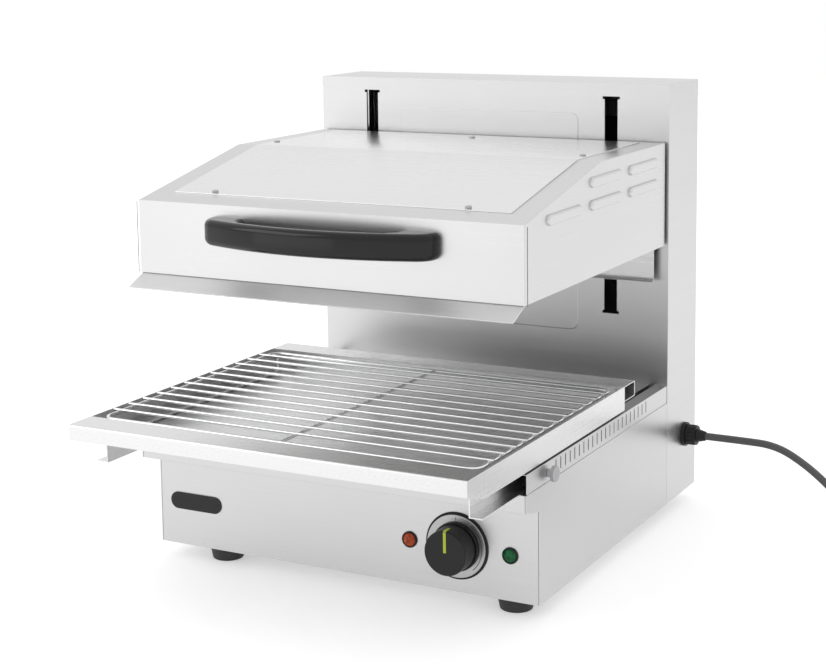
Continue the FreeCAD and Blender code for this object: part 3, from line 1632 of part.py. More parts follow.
doc.recompute()
for thing in doc.Objects:
    if "Invalid" in thing.State or "Error" in thing.State:
        raise RuntimeError(thing.Name + " failed: " + str(thing.State))
os.makedirs("parts", exist_ok=True)
for thing in nodes:
    if thing.Shape.isNull() or not thing.Shape.isValid():
        raise RuntimeError(thing.Label + " has no valid shape")
for thing in nodes:
    thing.Shape.exportStep("parts/" + thing.Label + ".step")
print(len(nodes), "sub-parts written")
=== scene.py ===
import bpy
import json
import math
from mathutils import Matrix, Vector

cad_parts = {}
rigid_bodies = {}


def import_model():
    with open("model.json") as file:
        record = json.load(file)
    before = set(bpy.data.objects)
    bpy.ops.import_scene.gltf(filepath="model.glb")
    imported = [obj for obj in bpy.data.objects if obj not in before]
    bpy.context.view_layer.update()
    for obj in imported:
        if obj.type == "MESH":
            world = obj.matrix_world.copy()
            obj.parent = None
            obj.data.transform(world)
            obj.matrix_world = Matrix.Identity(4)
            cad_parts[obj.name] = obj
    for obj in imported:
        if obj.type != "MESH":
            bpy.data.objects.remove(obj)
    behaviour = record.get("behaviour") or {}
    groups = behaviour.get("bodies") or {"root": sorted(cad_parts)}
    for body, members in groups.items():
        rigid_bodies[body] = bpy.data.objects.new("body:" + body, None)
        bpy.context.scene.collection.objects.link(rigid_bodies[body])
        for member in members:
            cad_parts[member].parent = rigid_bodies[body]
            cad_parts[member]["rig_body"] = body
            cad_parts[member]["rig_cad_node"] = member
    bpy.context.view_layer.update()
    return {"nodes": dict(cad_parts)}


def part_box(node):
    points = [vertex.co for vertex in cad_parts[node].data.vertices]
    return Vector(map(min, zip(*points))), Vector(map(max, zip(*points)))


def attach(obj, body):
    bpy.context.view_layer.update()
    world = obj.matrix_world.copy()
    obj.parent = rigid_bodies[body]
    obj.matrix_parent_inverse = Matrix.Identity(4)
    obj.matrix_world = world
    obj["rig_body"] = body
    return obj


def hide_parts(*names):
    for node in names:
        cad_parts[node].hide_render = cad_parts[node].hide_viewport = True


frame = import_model()
nodes = frame["nodes"]

# Camera, floor and light.
# The camera stands to the right of the machine and above it, and its lens shift keeps the column's edges
# upright. Two soft boxes and a pale surround light the steel, on a white worktop.
CAMERA_PLACE = (0.8973, -1.6607, 0.6479)
CAMERA_YAW = 0.4909
CAMERA_PITCH = 0.1385
CAMERA_ROLL = -0.0125
FOCAL_LENGTH = 76.94
PICTURE_WIDTH = 826
LEVEL_LINE = 200
PICTURE_MIDDLE = 332
camera = bpy.data.objects.new("camera", bpy.data.cameras.new("camera"))
bpy.context.collection.objects.link(camera)
camera.location = CAMERA_PLACE
turn = Matrix.Rotation(CAMERA_YAW, 4, "Z") @ Matrix.Rotation(math.pi / 2 - CAMERA_PITCH, 4, "X")
camera.rotation_euler = (turn @ Matrix.Rotation(CAMERA_ROLL, 4, "Z")).to_euler()
camera.data.lens = FOCAL_LENGTH
camera.data.shift_y = (LEVEL_LINE - PICTURE_MIDDLE) / PICTURE_WIDTH
bpy.context.scene.camera = camera
bpy.context.scene.view_settings.view_transform = "Standard"


def new_material(name):
    """A node material with its shader and its object coordinates."""
    made = bpy.data.materials.new(name)
    made.use_nodes = True
    tree = made.node_tree
    shader = tree.nodes["Principled BSDF"]
    place = tree.nodes.new("ShaderNodeTexCoord")
    return made, tree, shader, place


def add_light(name, place, aim, width, height, power):
    """A soft box: an area light that faces a point."""
    light = bpy.data.objects.new(name, bpy.data.lights.new(name, "AREA"))
    light.data.shape = "RECTANGLE"
    light.data.size = width
    light.data.size_y = height
    light.data.energy = power
    light.location = place
    light.rotation_euler = (Vector(aim) - Vector(place)).to_track_quat("-Z", "Y").to_euler()
    bpy.context.collection.objects.link(light)


def seen_rays(tree):
    """A socket that is 1 for what is seen, straight or in metal or glass, and 0 for light on the machine."""
    rays = tree.nodes.new("ShaderNodeLightPath")
    seen = rays.outputs["Is Camera Ray"]
    for kind in ("Is Glossy Ray", "Is Transmission Ray"):
        either = tree.nodes.new("ShaderNodeMath")
        either.operation = "MAXIMUM"
        tree.links.new(seen, either.inputs[0])
        tree.links.new(rays.outputs[kind], either.inputs[1])
        seen = either.outputs[0]
    return seen


add_light("box_left", place=(-1.5, -1.5, 1.5), aim=(0, 0, 0.25), width=1.3, height=1.3, power=8)
add_light("box_low", place=(-1.0, -1.65, 0.3), aim=(0, 0, 0.2), width=1.1, height=0.5, power=0.8)

SURROUND_LEFT = 0.7
SURROUND_RIGHT = 0.8
SURROUND_LIFT = 0.3
world = bpy.data.worlds.new("surround")
bpy.context.scene.world = world
world.use_nodes = True
sky = world.node_tree
backdrop = sky.nodes["Background"]
around = sky.nodes.new("ShaderNodeBackground")
backdrop.inputs["Color"].default_value = (1, 1, 1, 1)
backdrop.inputs["Strength"].default_value = 1
direction = sky.nodes.new("ShaderNodeTexCoord")
split = sky.nodes.new("ShaderNodeSeparateXYZ")
sky.links.new(direction.outputs["Generated"], split.inputs["Vector"])
strengths = []
for axis, lowest, least, most in (("X", -1, SURROUND_LEFT, SURROUND_RIGHT), ("Z", 0, 0, SURROUND_LIFT)):
    shade = sky.nodes.new("ShaderNodeMapRange")
    shade.inputs["From Min"].default_value = lowest
    shade.inputs["From Max"].default_value = 1
    shade.inputs["To Min"].default_value = least
    shade.inputs["To Max"].default_value = most
    sky.links.new(split.outputs[axis], shade.inputs["Value"])
    strengths.append(shade)
total = sky.nodes.new("ShaderNodeMath")
sky.links.new(strengths[0].outputs["Result"], total.inputs[0])
sky.links.new(strengths[1].outputs["Result"], total.inputs[1])
sky.links.new(total.outputs[0], around.inputs["Strength"])
around.inputs["Color"].default_value = (1, 1, 1, 1)
choose = sky.nodes.new("ShaderNodeMixShader")
sky.links.new(seen_rays(sky), choose.inputs["Fac"])
sky.links.new(around.outputs["Background"], choose.inputs[1])
sky.links.new(backdrop.outputs["Background"], choose.inputs[2])
sky.links.new(choose.outputs["Shader"], sky.nodes["World Output"].inputs["Surface"])

FLOOR_SIZE = 12
FLOOR_LEVEL = -0.0002
FLOOR_TONE = 0.78
FLOOR_GLOW = 0.4
bpy.ops.mesh.primitive_plane_add(size=FLOOR_SIZE, location=(0, 0, FLOOR_LEVEL))
floor = bpy.context.object
floor.name = "worktop"
made, tree, shader, place = new_material("worktop_white")
shader.inputs["Base Color"].default_value = (FLOOR_TONE, FLOOR_TONE, FLOOR_TONE, 1)
shader.inputs["Roughness"].default_value = 0.6
shader.inputs["Emission Color"].default_value = (1, 1, 1, 1)
glow = tree.nodes.new("ShaderNodeMath")
glow.operation = "MULTIPLY"
glow.inputs[1].default_value = FLOOR_GLOW
tree.links.new(seen_rays(tree), glow.inputs[0])
tree.links.new(glow.outputs[0], shader.inputs["Emission Strength"])
floor.data.materials.append(made)

# Bottom pan, side panels, deck and the rails beside it.
# Brushed stainless sheet, 1.2 mm thick, folded and then spot-welded inside the base. The grain runs level
# round the machine: along X on faces that look forward, back or up, and along Y on its two sides.
GRAIN_LONG = 3
GRAIN_FINE = 700
GRAIN_TINT = 0.06
GRAIN_RELIEF = 0.15
SIDEWAYS = 0.7
WEAR_SHARE = 0.35
WORN_SMOOTH = 0.07
WORN_DULL = 0.09


def brushed(name, tone, rough, grain=1.0):
    """Brushed stainless steel: fine level lines and soft wear in its colour, gloss and relief."""
    made, tree, shader, place = new_material(name)
    grains = []
    for stretch_by in ((GRAIN_LONG, GRAIN_FINE, GRAIN_FINE), (GRAIN_FINE, GRAIN_LONG, GRAIN_FINE)):
        stretch = tree.nodes.new("ShaderNodeMapping")
        stretch.inputs["Scale"].default_value = stretch_by
        tree.links.new(place.outputs["Object"], stretch.inputs["Vector"])
        lines = tree.nodes.new("ShaderNodeTexNoise")
        lines.inputs["Scale"].default_value = 1
        lines.inputs["Detail"].default_value = 4
        lines.inputs["Roughness"].default_value = 0.6
        tree.links.new(stretch.outputs["Vector"], lines.inputs["Vector"])
        grains.append(lines)
    facing = tree.nodes.new("ShaderNodeSeparateXYZ")
    tree.links.new(place.outputs["Normal"], facing.inputs["Vector"])
    size = tree.nodes.new("ShaderNodeMath")
    size.operation = "ABSOLUTE"
    tree.links.new(facing.outputs["X"], size.inputs[0])
    aside = tree.nodes.new("ShaderNodeMath")
    aside.operation = "GREATER_THAN"
    aside.inputs[1].default_value = SIDEWAYS
    tree.links.new(size.outputs[0], aside.inputs[0])
    pick = tree.nodes.new("ShaderNodeMix")
    tree.links.new(aside.outputs[0], pick.inputs["Factor"])
    tree.links.new(grains[0].outputs["Fac"], pick.inputs["A"])
    tree.links.new(grains[1].outputs["Fac"], pick.inputs["B"])
    wear = tree.nodes.new("ShaderNodeTexNoise")
    wear.inputs["Scale"].default_value = 7
    wear.inputs["Detail"].default_value = 3
    tree.links.new(place.outputs["Object"], wear.inputs["Vector"])
    both = tree.nodes.new("ShaderNodeMath")
    both.operation = "MULTIPLY_ADD"
    both.inputs[1].default_value = WEAR_SHARE
    tree.links.new(wear.outputs["Fac"], both.inputs[0])
    tree.links.new(pick.outputs["Result"], both.inputs[2])
    gloss = tree.nodes.new("ShaderNodeMapRange")
    gloss.inputs["From Min"].default_value = 0.3
    gloss.inputs["From Max"].default_value = 1.05
    gloss.inputs["To Min"].default_value = rough - WORN_SMOOTH
    gloss.inputs["To Max"].default_value = rough + WORN_DULL
    tree.links.new(both.outputs[0], gloss.inputs["Value"])
    tree.links.new(gloss.outputs["Result"], shader.inputs["Roughness"])
    tint = tree.nodes.new("ShaderNodeMix")
    tint.data_type = "RGBA"
    tint.inputs["A"].default_value = (*[tone * (1 - GRAIN_TINT * grain)] * 3, 1)
    tint.inputs["B"].default_value = (*[tone * (1 + GRAIN_TINT * grain)] * 3, 1)
    tree.links.new(pick.outputs["Result"], tint.inputs["Factor"])
    tree.links.new(tint.outputs["Result"], shader.inputs["Base Color"])
    bump = tree.nodes.new("ShaderNodeBump")
    bump.inputs["Strength"].default_value = GRAIN_RELIEF * grain
    bump.inputs["Distance"].default_value = 0.00003
    tree.links.new(pick.outputs["Result"], bump.inputs["Height"])
    tree.links.new(bump.outputs["Normal"], shader.inputs["Normal"])
    shader.inputs["Metallic"].default_value = 1
    return made


FOLD = 0.0004
MERGE = 0.00001
FLAT = math.radians(1)
LARGE_FACE = 0.0004
BEND = math.radians(4)
SMOOTH = math.radians(35)


def select_only(piece):
    """Select one piece and make it the active one."""
    bpy.ops.object.select_all(action="DESELECT")
    piece.select_set(True)
    bpy.context.view_layer.objects.active = piece


def round_edges(piece, width, segments=3, degrees=40):
    """Round off the sharp edges of a piece."""
    select_only(piece)
    bevel = piece.modifiers.new("edges", "BEVEL")
    bevel.width = width
    bevel.segments = segments
    bevel.limit_method = "ANGLE"
    bevel.angle_limit = math.radians(degrees)
    bevel.use_clamp_overlap = False
    bpy.ops.object.modifier_apply(modifier=bevel.name)


def settle(piece, name, body, material, slot, *replaced):
    """Finish a piece: its place goes into its mesh, then its shading, name, material and body."""
    select_only(piece)
    bpy.ops.object.transform_apply(location=True, rotation=True, scale=True)
    bpy.ops.object.mode_set(mode="EDIT")
    bpy.ops.mesh.select_all(action="SELECT")
    bpy.ops.mesh.normals_make_consistent(inside=False)
    bpy.ops.object.mode_set(mode="OBJECT")
    bpy.ops.object.shade_smooth_by_angle(angle=SMOOTH)
    weigh = piece.modifiers.new("weigh", "WEIGHTED_NORMAL")
    weigh.keep_sharp = True
    bpy.ops.object.modifier_apply(modifier=weigh.name)
    piece.name = name
    piece.data.name = name
    piece.data.materials.clear()
    piece.data.materials.append(material)
    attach(piece, body)
    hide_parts(*replaced)


def folded(node, material, slot="steel_brushed", edge=FOLD):
    """A folded sheet from its CAD mesh: merged, flat faces made whole, then folds and cut edges rounded."""
    piece = nodes[node].copy()
    piece.data = nodes[node].data.copy()
    body = piece["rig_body"]
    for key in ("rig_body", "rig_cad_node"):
        del piece[key]
    piece.parent = None
    bpy.context.collection.objects.link(piece)
    select_only(piece)
    bpy.ops.mesh.customdata_custom_splitnormals_clear()
    bpy.ops.object.mode_set(mode="EDIT")
    bpy.ops.mesh.select_all(action="SELECT")
    bpy.ops.mesh.remove_doubles(threshold=MERGE)
    bpy.ops.mesh.dissolve_limited(angle_limit=FLAT)
    bpy.ops.object.mode_set(mode="OBJECT")
    round_edges(piece, edge, segments=2)
    beside = {}
    for face in piece.data.polygons:
        if face.area > LARGE_FACE:
            for key in face.edge_keys:
                beside.setdefault(key, []).append(face.normal)
    for line in piece.data.edges:
        pair = beside.get(line.key, [])
        line.use_edge_sharp = len(pair) == 2 and pair[0].angle(pair[1]) > BEND
    settle(piece, node + "_sheet", body, material, slot, node)


panel_steel = brushed("panel_steel", 0.6, 0.32)
for node in ("bottom_pan", "side_panel_left", "side_panel_right", "deck_plate", "vent_rail_left",
             "vent_rail_right"):
    folded(node, panel_steel)

# Painted shade in the vent rails.
# A thin black strip with a fine gauze texture, cut to length and let into each rail across its row of slots.
# Its black is painted shade, so the slots look dark.
SHADE_STRIP_DEPTH = 0.0003
SHADE_STRIP_THICKNESS = 0.0003
SHADE_STRIP_FRONT = -0.118
SHADE_STRIP_REAR = 0.1415
SHADE_STRIP_LOW = 0.1405
SHADE_STRIP_HIGH = 0.1545
rail_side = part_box("vent_rail_right")[1].x
along_x = (0, math.pi / 2, 0)


def surface(name, colour, rough, metallic=0.0, scale=400, vary=0.08, depth=0.00003, shine=0.5):
    """A plain finish with fine unevenness in its colour, gloss and relief."""
    made, tree, shader, place = new_material(name)
    fine = tree.nodes.new("ShaderNodeTexNoise")
    fine.inputs["Scale"].default_value = scale
    fine.inputs["Detail"].default_value = 3
    tree.links.new(place.outputs["Object"], fine.inputs["Vector"])
    broad = tree.nodes.new("ShaderNodeTexNoise")
    broad.inputs["Scale"].default_value = 25
    tree.links.new(place.outputs["Object"], broad.inputs["Vector"])
    gloss = tree.nodes.new("ShaderNodeMapRange")
    gloss.inputs["From Min"].default_value = 0.3
    gloss.inputs["From Max"].default_value = 0.7
    gloss.inputs["To Min"].default_value = rough * (1 - 2 * vary)
    gloss.inputs["To Max"].default_value = rough * (1 + 2 * vary)
    tree.links.new(broad.outputs["Fac"], gloss.inputs["Value"])
    tree.links.new(gloss.outputs["Result"], shader.inputs["Roughness"])
    tint = tree.nodes.new("ShaderNodeMix")
    tint.data_type = "RGBA"
    tint.inputs["A"].default_value = (*[part * (1 - vary) for part in colour], 1)
    tint.inputs["B"].default_value = (*[min(part * (1 + vary), 1) for part in colour], 1)
    tree.links.new(fine.outputs["Fac"], tint.inputs["Factor"])
    tree.links.new(tint.outputs["Result"], shader.inputs["Base Color"])
    bump = tree.nodes.new("ShaderNodeBump")
    bump.inputs["Strength"].default_value = 0.3
    bump.inputs["Distance"].default_value = depth
    tree.links.new(fine.outputs["Fac"], bump.inputs["Height"])
    tree.links.new(bump.outputs["Normal"], shader.inputs["Normal"])
    shader.inputs["Metallic"].default_value = metallic
    shader.inputs["Specular IOR Level"].default_value = shine
    return made


def join(pieces):
    """Make one mesh of several and return it."""
    bpy.ops.object.select_all(action="DESELECT")
    for piece in pieces:
        piece.select_set(True)
    bpy.context.view_layer.objects.active = pieces[0]
    bpy.ops.object.join()
    return bpy.context.object


def lay_sheet(place, turned, width, height):
    """Lay a flat rectangle and leave it in edit mode, selected all over."""
    bpy.ops.mesh.primitive_plane_add(size=1, rotation=turned, location=place)
    sheet = bpy.context.object
    sheet.scale = (width, height, 1)
    select_only(sheet)
    bpy.ops.object.transform_apply(location=True, rotation=True, scale=True)
    bpy.ops.object.mode_set(mode="EDIT")
    bpy.ops.mesh.select_all(action="SELECT")
    return sheet


strips = []
for side in (-1, 1):
    middle = (side * (rail_side - SHADE_STRIP_DEPTH), (SHADE_STRIP_FRONT + SHADE_STRIP_REAR) / 2, (SHADE_STRIP_LOW + SHADE_STRIP_HIGH) / 2)
    strip = lay_sheet(middle, along_x, SHADE_STRIP_HIGH - SHADE_STRIP_LOW, SHADE_STRIP_REAR - SHADE_STRIP_FRONT)
    bpy.ops.mesh.extrude_region_move(TRANSFORM_OT_translate={"value": (-side * SHADE_STRIP_THICKNESS, 0, 0)})
    bpy.ops.object.mode_set(mode="OBJECT")
    strips.append(strip)
# Black sheet with a fine texture: painted shade for the slots in the vent rails and behind the rear slots.
painted_shade_black = surface("painted_shade_black", (0.02, 0.02, 0.02), 0.8, scale=1800, vary=0.3, depth=0.0003, shine=0.2)
settle(join(strips), "vent_rail_painted_shade", "base", painted_shade_black, "black_matt")

# Feet.
# Four turned feet of black rubber, a little narrower at the worktop than at the top. A screw from below holds
# each to the bottom pan.
FOOT_BEVEL = 0.0012
FOOT_TAPER = 0.825
foot_rubber = surface("foot_rubber", (0.025, 0.025, 0.026), 0.6, depth=0.00008)
for corner in ("front_left", "front_right", "rear_left", "rear_right"):
    foot_low, foot_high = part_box("foot_" + corner)
    top_radius = (foot_high.x - foot_low.x) / 2
    height = foot_high.z - foot_low.z
    bpy.ops.mesh.primitive_cone_add(
        vertices=56, radius1=top_radius * FOOT_TAPER, radius2=top_radius, depth=height,
        location=((foot_low.x + foot_high.x) / 2, (foot_low.y + foot_high.y) / 2, foot_low.z + height / 2))
    foot = bpy.context.object
    round_edges(foot, FOOT_BEVEL, segments=4)
    settle(foot, "rubber_foot_" + corner, "base", foot_rubber, "rubber_black", "foot_" + corner)

# Front panel.
# One folded stainless sheet: the flat control face, the lip that flares forward at its top and the flange
# that turns under the base. It is welded to the side panels.
folded("front_panel", panel_steel)

# Nameplate.
# A blank black plastic capsule with a fine raised rim, moulded in one piece and glued to the left of the
# front panel.
PLATE_RIM = 0.0011
PLATE_SINK = 0.0003
PLATE_ROUND = 0.499
plate_low, plate_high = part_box("nameplate")
plate_height = plate_high.z - plate_low.z
plate_middle = ((plate_low.x + plate_high.x) / 2, plate_high.y, (plate_low.z + plate_high.z) / 2)
facing_front = (math.pi / 2, 0, 0)
plate = lay_sheet(plate_middle, facing_front, plate_high.x - plate_low.x, plate_height)
bpy.ops.mesh.bevel(offset=plate_height * PLATE_ROUND, segments=14, affect="VERTICES")
bpy.ops.mesh.extrude_region_move(TRANSFORM_OT_translate={"value": (0, plate_low.y - plate_high.y, 0)})
bpy.ops.mesh.inset(thickness=PLATE_RIM)
bpy.ops.transform.translate(value=(0, PLATE_SINK, 0))
bpy.ops.object.mode_set(mode="OBJECT")
plate_gloss = surface("plate_gloss", (0.01, 0.01, 0.0105), 0.3, shine=0.35)
settle(plate, "nameplate_blank", "base", plate_gloss, "black_gloss", "nameplate")

# Pilot lamps.
# A domed plastic lens, amber for heat and green for mains, in a thin black rim pressed into the panel. The
# lens is moulded with small facets inside, and their sparkle is painted into its colour as bright and dark
# cells: painted glints and painted shade.
LENS_SHARE = 0.87
LENS_RISE = 0.0035
LENS_GLOW = 0.06
# Factors for the painted glints and painted shade of the facets in the lens colour.
FACET_PAINTED_GLINT = 1.25
FACET_PAINTED_SHADE = 0.35
RIM_REACH = 0.93
RIM_WIRE = 0.1
RIM_LEVEL = 0.75


def lens_material(name, colour):
    """Clear coloured plastic with painted glints and painted shade of facets in its colour, and a faint lamp
    glow.
    """
    made, tree, shader, place = new_material(name)
    cells = tree.nodes.new("ShaderNodeTexVoronoi")
    cells.inputs["Scale"].default_value = 420
    tree.links.new(place.outputs["Object"], cells.inputs["Vector"])
    # Bright and dark cells in the colour and glow are painted glints and painted shade of the facets.
    tint = tree.nodes.new("ShaderNodeMix")
    tint.data_type = "RGBA"
    tint.inputs["A"].default_value = (*[part * FACET_PAINTED_GLINT for part in colour], 1)
    tint.inputs["B"].default_value = (*[part * FACET_PAINTED_SHADE for part in colour], 1)
    spread = tree.nodes.new("ShaderNodeMapRange")
    spread.inputs["From Max"].default_value = 0.9
    tree.links.new(cells.outputs["Distance"], spread.inputs["Value"])
    tree.links.new(spread.outputs["Result"], tint.inputs["Factor"])
    tree.links.new(tint.outputs["Result"], shader.inputs["Base Color"])
    tree.links.new(tint.outputs["Result"], shader.inputs["Emission Color"])
    shader.inputs["Emission Strength"].default_value = LENS_GLOW
    bump = tree.nodes.new("ShaderNodeBump")
    bump.inputs["Strength"].default_value = 0.5
    bump.inputs["Distance"].default_value = 0.0003
    tree.links.new(cells.outputs["Distance"], bump.inputs["Height"])
    tree.links.new(bump.outputs["Normal"], shader.inputs["Normal"])
    shader.inputs["Roughness"].default_value = 0.15
    shader.inputs["Specular IOR Level"].default_value = 0.25
    return made


black_plastic = surface("black_plastic", (0.012, 0.012, 0.0125), 0.42, shine=0.25)
rim_pieces = []
for hue, colour in (("amber", (0.55, 0.075, 0.015)), ("green", (0.0, 0.13, 0.035))):
    lens_low, lens_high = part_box("lamp_" + hue)
    radius = (lens_high.x - lens_low.x) / 2
    lens_x = (lens_low.x + lens_high.x) / 2
    lens_z = (lens_low.z + lens_high.z) / 2
    bpy.ops.mesh.primitive_uv_sphere_add(
        segments=48, ring_count=24, radius=1, location=(lens_x, lens_low.y + LENS_RISE, lens_z))
    lens = bpy.context.object
    lens.scale = (radius * LENS_SHARE, LENS_RISE, radius * LENS_SHARE)
    settle(lens, "lens_" + hue, "base", lens_material("lens_" + hue, colour), "lens_" + hue, "lamp_" + hue)
    bpy.ops.mesh.primitive_torus_add(
        major_segments=56, minor_segments=14, major_radius=radius * RIM_REACH, minor_radius=radius * RIM_WIRE,
        rotation=facing_front, location=(lens_x, lens_low.y + LENS_RISE * RIM_LEVEL, lens_z))
    rim_pieces.append(bpy.context.object)
rims = join(rim_pieces)
settle(rims, "lamp_rims_black", "base", black_plastic, "black_matt", "lamp_rims")

# Regulator and terminals.
# The knob sits on the ground steel shaft of a black energy regulator behind the front panel. The lead ends in
# a white plastic terminal block. Both are screwed down inside the machine.


def dress(material, *names):
    """Give a material to CAD nodes that are shown as they are."""
    for name in names:
        for socket in nodes[name].material_slots:
            socket.material = material


rod_steel = surface("rod_steel", (0.7, 0.7, 0.71), 0.16, metallic=1.0, scale=1200)
dress(rod_steel, "knob_shaft")
dress(black_plastic, "energy_regulator")
dress(surface("terminal_white", (0.7, 0.69, 0.65), 0.5), "terminal_block")

# Dial behind the knob.
# A dark backing ring and, on it, a spun aluminium ring with one tick at the top and a fine arc that
# shows the way to turn. Both stay still while the knob turns.
DIAL_EDGE = 0.0005
back_low, back_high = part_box("bezel_backing")
ring_low, ring_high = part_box("bezel_ring")
dial_x = (ring_low.x + ring_high.x) / 2
dial_z = (ring_low.z + ring_high.z) / 2


def spun(name, centre, tone):
    """Turned metal: fine rings round the axis that runs along Y through the centre."""
    made, tree, shader, place = new_material(name)
    shift = tree.nodes.new("ShaderNodeMapping")
    shift.inputs["Location"].default_value = (-centre[0], 0, -centre[1])
    shift.inputs["Scale"].default_value = (1, 0, 1)
    tree.links.new(place.outputs["Object"], shift.inputs["Vector"])
    distance = tree.nodes.new("ShaderNodeVectorMath")
    distance.operation = "LENGTH"
    tree.links.new(shift.outputs["Vector"], distance.inputs[0])
    rings = tree.nodes.new("ShaderNodeTexNoise")
    rings.noise_dimensions = "1D"
    rings.inputs["Scale"].default_value = 2500
    tree.links.new(distance.outputs["Value"], rings.inputs["W"])
    gloss = tree.nodes.new("ShaderNodeMapRange")
    gloss.inputs["To Min"].default_value = 0.2
    gloss.inputs["To Max"].default_value = 0.42
    tree.links.new(rings.outputs["Fac"], gloss.inputs["Value"])
    tree.links.new(gloss.outputs["Result"], shader.inputs["Roughness"])
    bump = tree.nodes.new("ShaderNodeBump")
    bump.inputs["Strength"].default_value = 0.5
    bump.inputs["Distance"].default_value = 0.00006
    tree.links.new(rings.outputs["Fac"], bump.inputs["Height"])
    tree.links.new(bump.outputs["Normal"], shader.inputs["Normal"])
    around_axis = tree.nodes.new("ShaderNodeTangent")
    around_axis.direction_type = "RADIAL"
    around_axis.axis = "Y"
    tree.links.new(around_axis.outputs["Tangent"], shader.inputs["Tangent"])
    shader.inputs["Anisotropic"].default_value = 0.7
    shader.inputs["Base Color"].default_value = (tone, tone, tone, 1)
    shader.inputs["Metallic"].default_value = 1
    return made


bpy.ops.mesh.primitive_cylinder_add(
    vertices=96, radius=(back_high.x - back_low.x) / 2, depth=back_high.y - back_low.y,
    rotation=facing_front, location=(dial_x, (back_low.y + back_high.y) / 2, dial_z))
backing = bpy.context.object
round_edges(backing, DIAL_EDGE)
settle(backing, "dial_backing", "base", black_plastic, "black_matt", "bezel_backing")
bpy.ops.mesh.primitive_cylinder_add(
    vertices=96, radius=(ring_high.x - ring_low.x) / 2, depth=ring_high.y - ring_low.y,
    rotation=facing_front, location=(dial_x, (ring_low.y + ring_high.y) / 2, dial_z))
dial = bpy.context.object
round_edges(dial, DIAL_EDGE)
dial_aluminium = spun("dial_aluminium", (dial_x, dial_z), 0.45)
settle(dial, "dial_ring", "base", dial_aluminium, "dial_aluminium", "bezel_ring")
TICK_RADIUS = 0.0285
TICK_LENGTH = 0.0032
PRINT_WIDTH = 0.0007
PRINT_THICKNESS = 0.00004
ARC_START = math.radians(35)
ARC_TURN = math.radians(105)
ARC_STEPS = 44
bpy.ops.mesh.primitive_cube_add(size=1, location=(dial_x, ring_low.y, dial_z + TICK_RADIUS),
                                scale=(PRINT_WIDTH, PRINT_THICKNESS, TICK_LENGTH))
tick = bpy.context.object
arc_x = dial_x + TICK_RADIUS * math.sin(ARC_START)
arc_z = dial_z + TICK_RADIUS * math.cos(ARC_START)
arc = lay_sheet((arc_x, ring_low.y, arc_z), (0, math.pi / 2 + ARC_START, 0), PRINT_WIDTH, PRINT_THICKNESS)
bpy.ops.mesh.spin(steps=ARC_STEPS, angle=-ARC_TURN, center=(dial_x, ring_low.y, dial_z), axis=(0, 1, 0))
bpy.ops.object.mode_set(mode="OBJECT")
tick = join([tick, arc])
settle(tick, "dial_tick", "base", black_plastic, "black_matt")

# Knob.
# Black satin cap on the regulator's shaft, tapered, with a rounded front edge. A lime pointer is let into it,
# from the middle of its front over the edge and a little way back along its side.
CAP_BACK = 0.0232
CAP_FRONT = 0.0228
CAP_EDGE = 0.0016
CAP_GAP = 0.003
COLLAR_DEPTH = 0.002
COLLAR_SET_BACK = 0.0015
COLLAR_EDGE = 0.0005
POINTER_WIDTH = 0.0033
POINTER_DEPTH = 0.0008
POINTER_SINK = 0.0003
POINTER_UP = 0.0212
POINTER_BACK = 0.0105
POINTER_ALONG = 0.00945
POINTER_RISE = 0.0012
POINTER_EDGE = 0.00035
knob_low, knob_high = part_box("control_knob")
knob_satin = surface("knob_satin", (0.012, 0.012, 0.0125), 0.38, scale=900, depth=0.00005, shine=0.3)
cap_depth = knob_high.y - knob_low.y - CAP_GAP
bpy.ops.mesh.primitive_cone_add(
    vertices=96, radius1=CAP_BACK, radius2=CAP_FRONT, depth=cap_depth, rotation=facing_front,
    location=(dial_x, knob_low.y + cap_depth / 2, dial_z))
cap = bpy.context.object
round_edges(cap, CAP_EDGE, segments=5)
bpy.ops.mesh.primitive_cylinder_add(
    vertices=96, radius=(knob_high.x - knob_low.x) / 2, depth=COLLAR_DEPTH, rotation=facing_front,
    location=(dial_x, knob_high.y - COLLAR_SET_BACK, dial_z))
collar = bpy.context.object
round_edges(collar, COLLAR_EDGE)
settle(join([cap, collar]), "knob_cap", "knob", knob_satin, "knob_black", "control_knob")
lime = surface("lime_inlay", (0.52, 0.62, 0.03), 0.4)
bpy.ops.mesh.primitive_cube_add(
    size=1, location=(dial_x, knob_low.y + POINTER_SINK, dial_z + CAP_FRONT / 2),
    scale=(POINTER_WIDTH, POINTER_DEPTH, POINTER_UP))
front_bar = bpy.context.object
bpy.ops.mesh.primitive_cube_add(
    size=1, location=(dial_x, knob_low.y + POINTER_BACK / 2, dial_z + CAP_FRONT),
    scale=(POINTER_WIDTH, POINTER_ALONG, POINTER_RISE))
side_bar = bpy.context.object
pointer = join([front_bar, side_bar])
round_edges(pointer, POINTER_EDGE)
settle(pointer, "knob_pointer_lime", "knob", lime, "pointer_lime", "knob_pointer")

# Column.
# One tall folded box with the two slots that the lift arms run in and a shallow pressed panel between them.
# Its back is a flat cover with rows of slots, held by eight screws.
zinc = surface("zinc_plate", (0.42, 0.42, 0.43), 0.3, metallic=1.0, scale=600)
folded("column_shell", brushed("column_steel", 0.64, 0.36, 0.25))
folded("column_back", panel_steel)
dress(zinc, "back_screws")

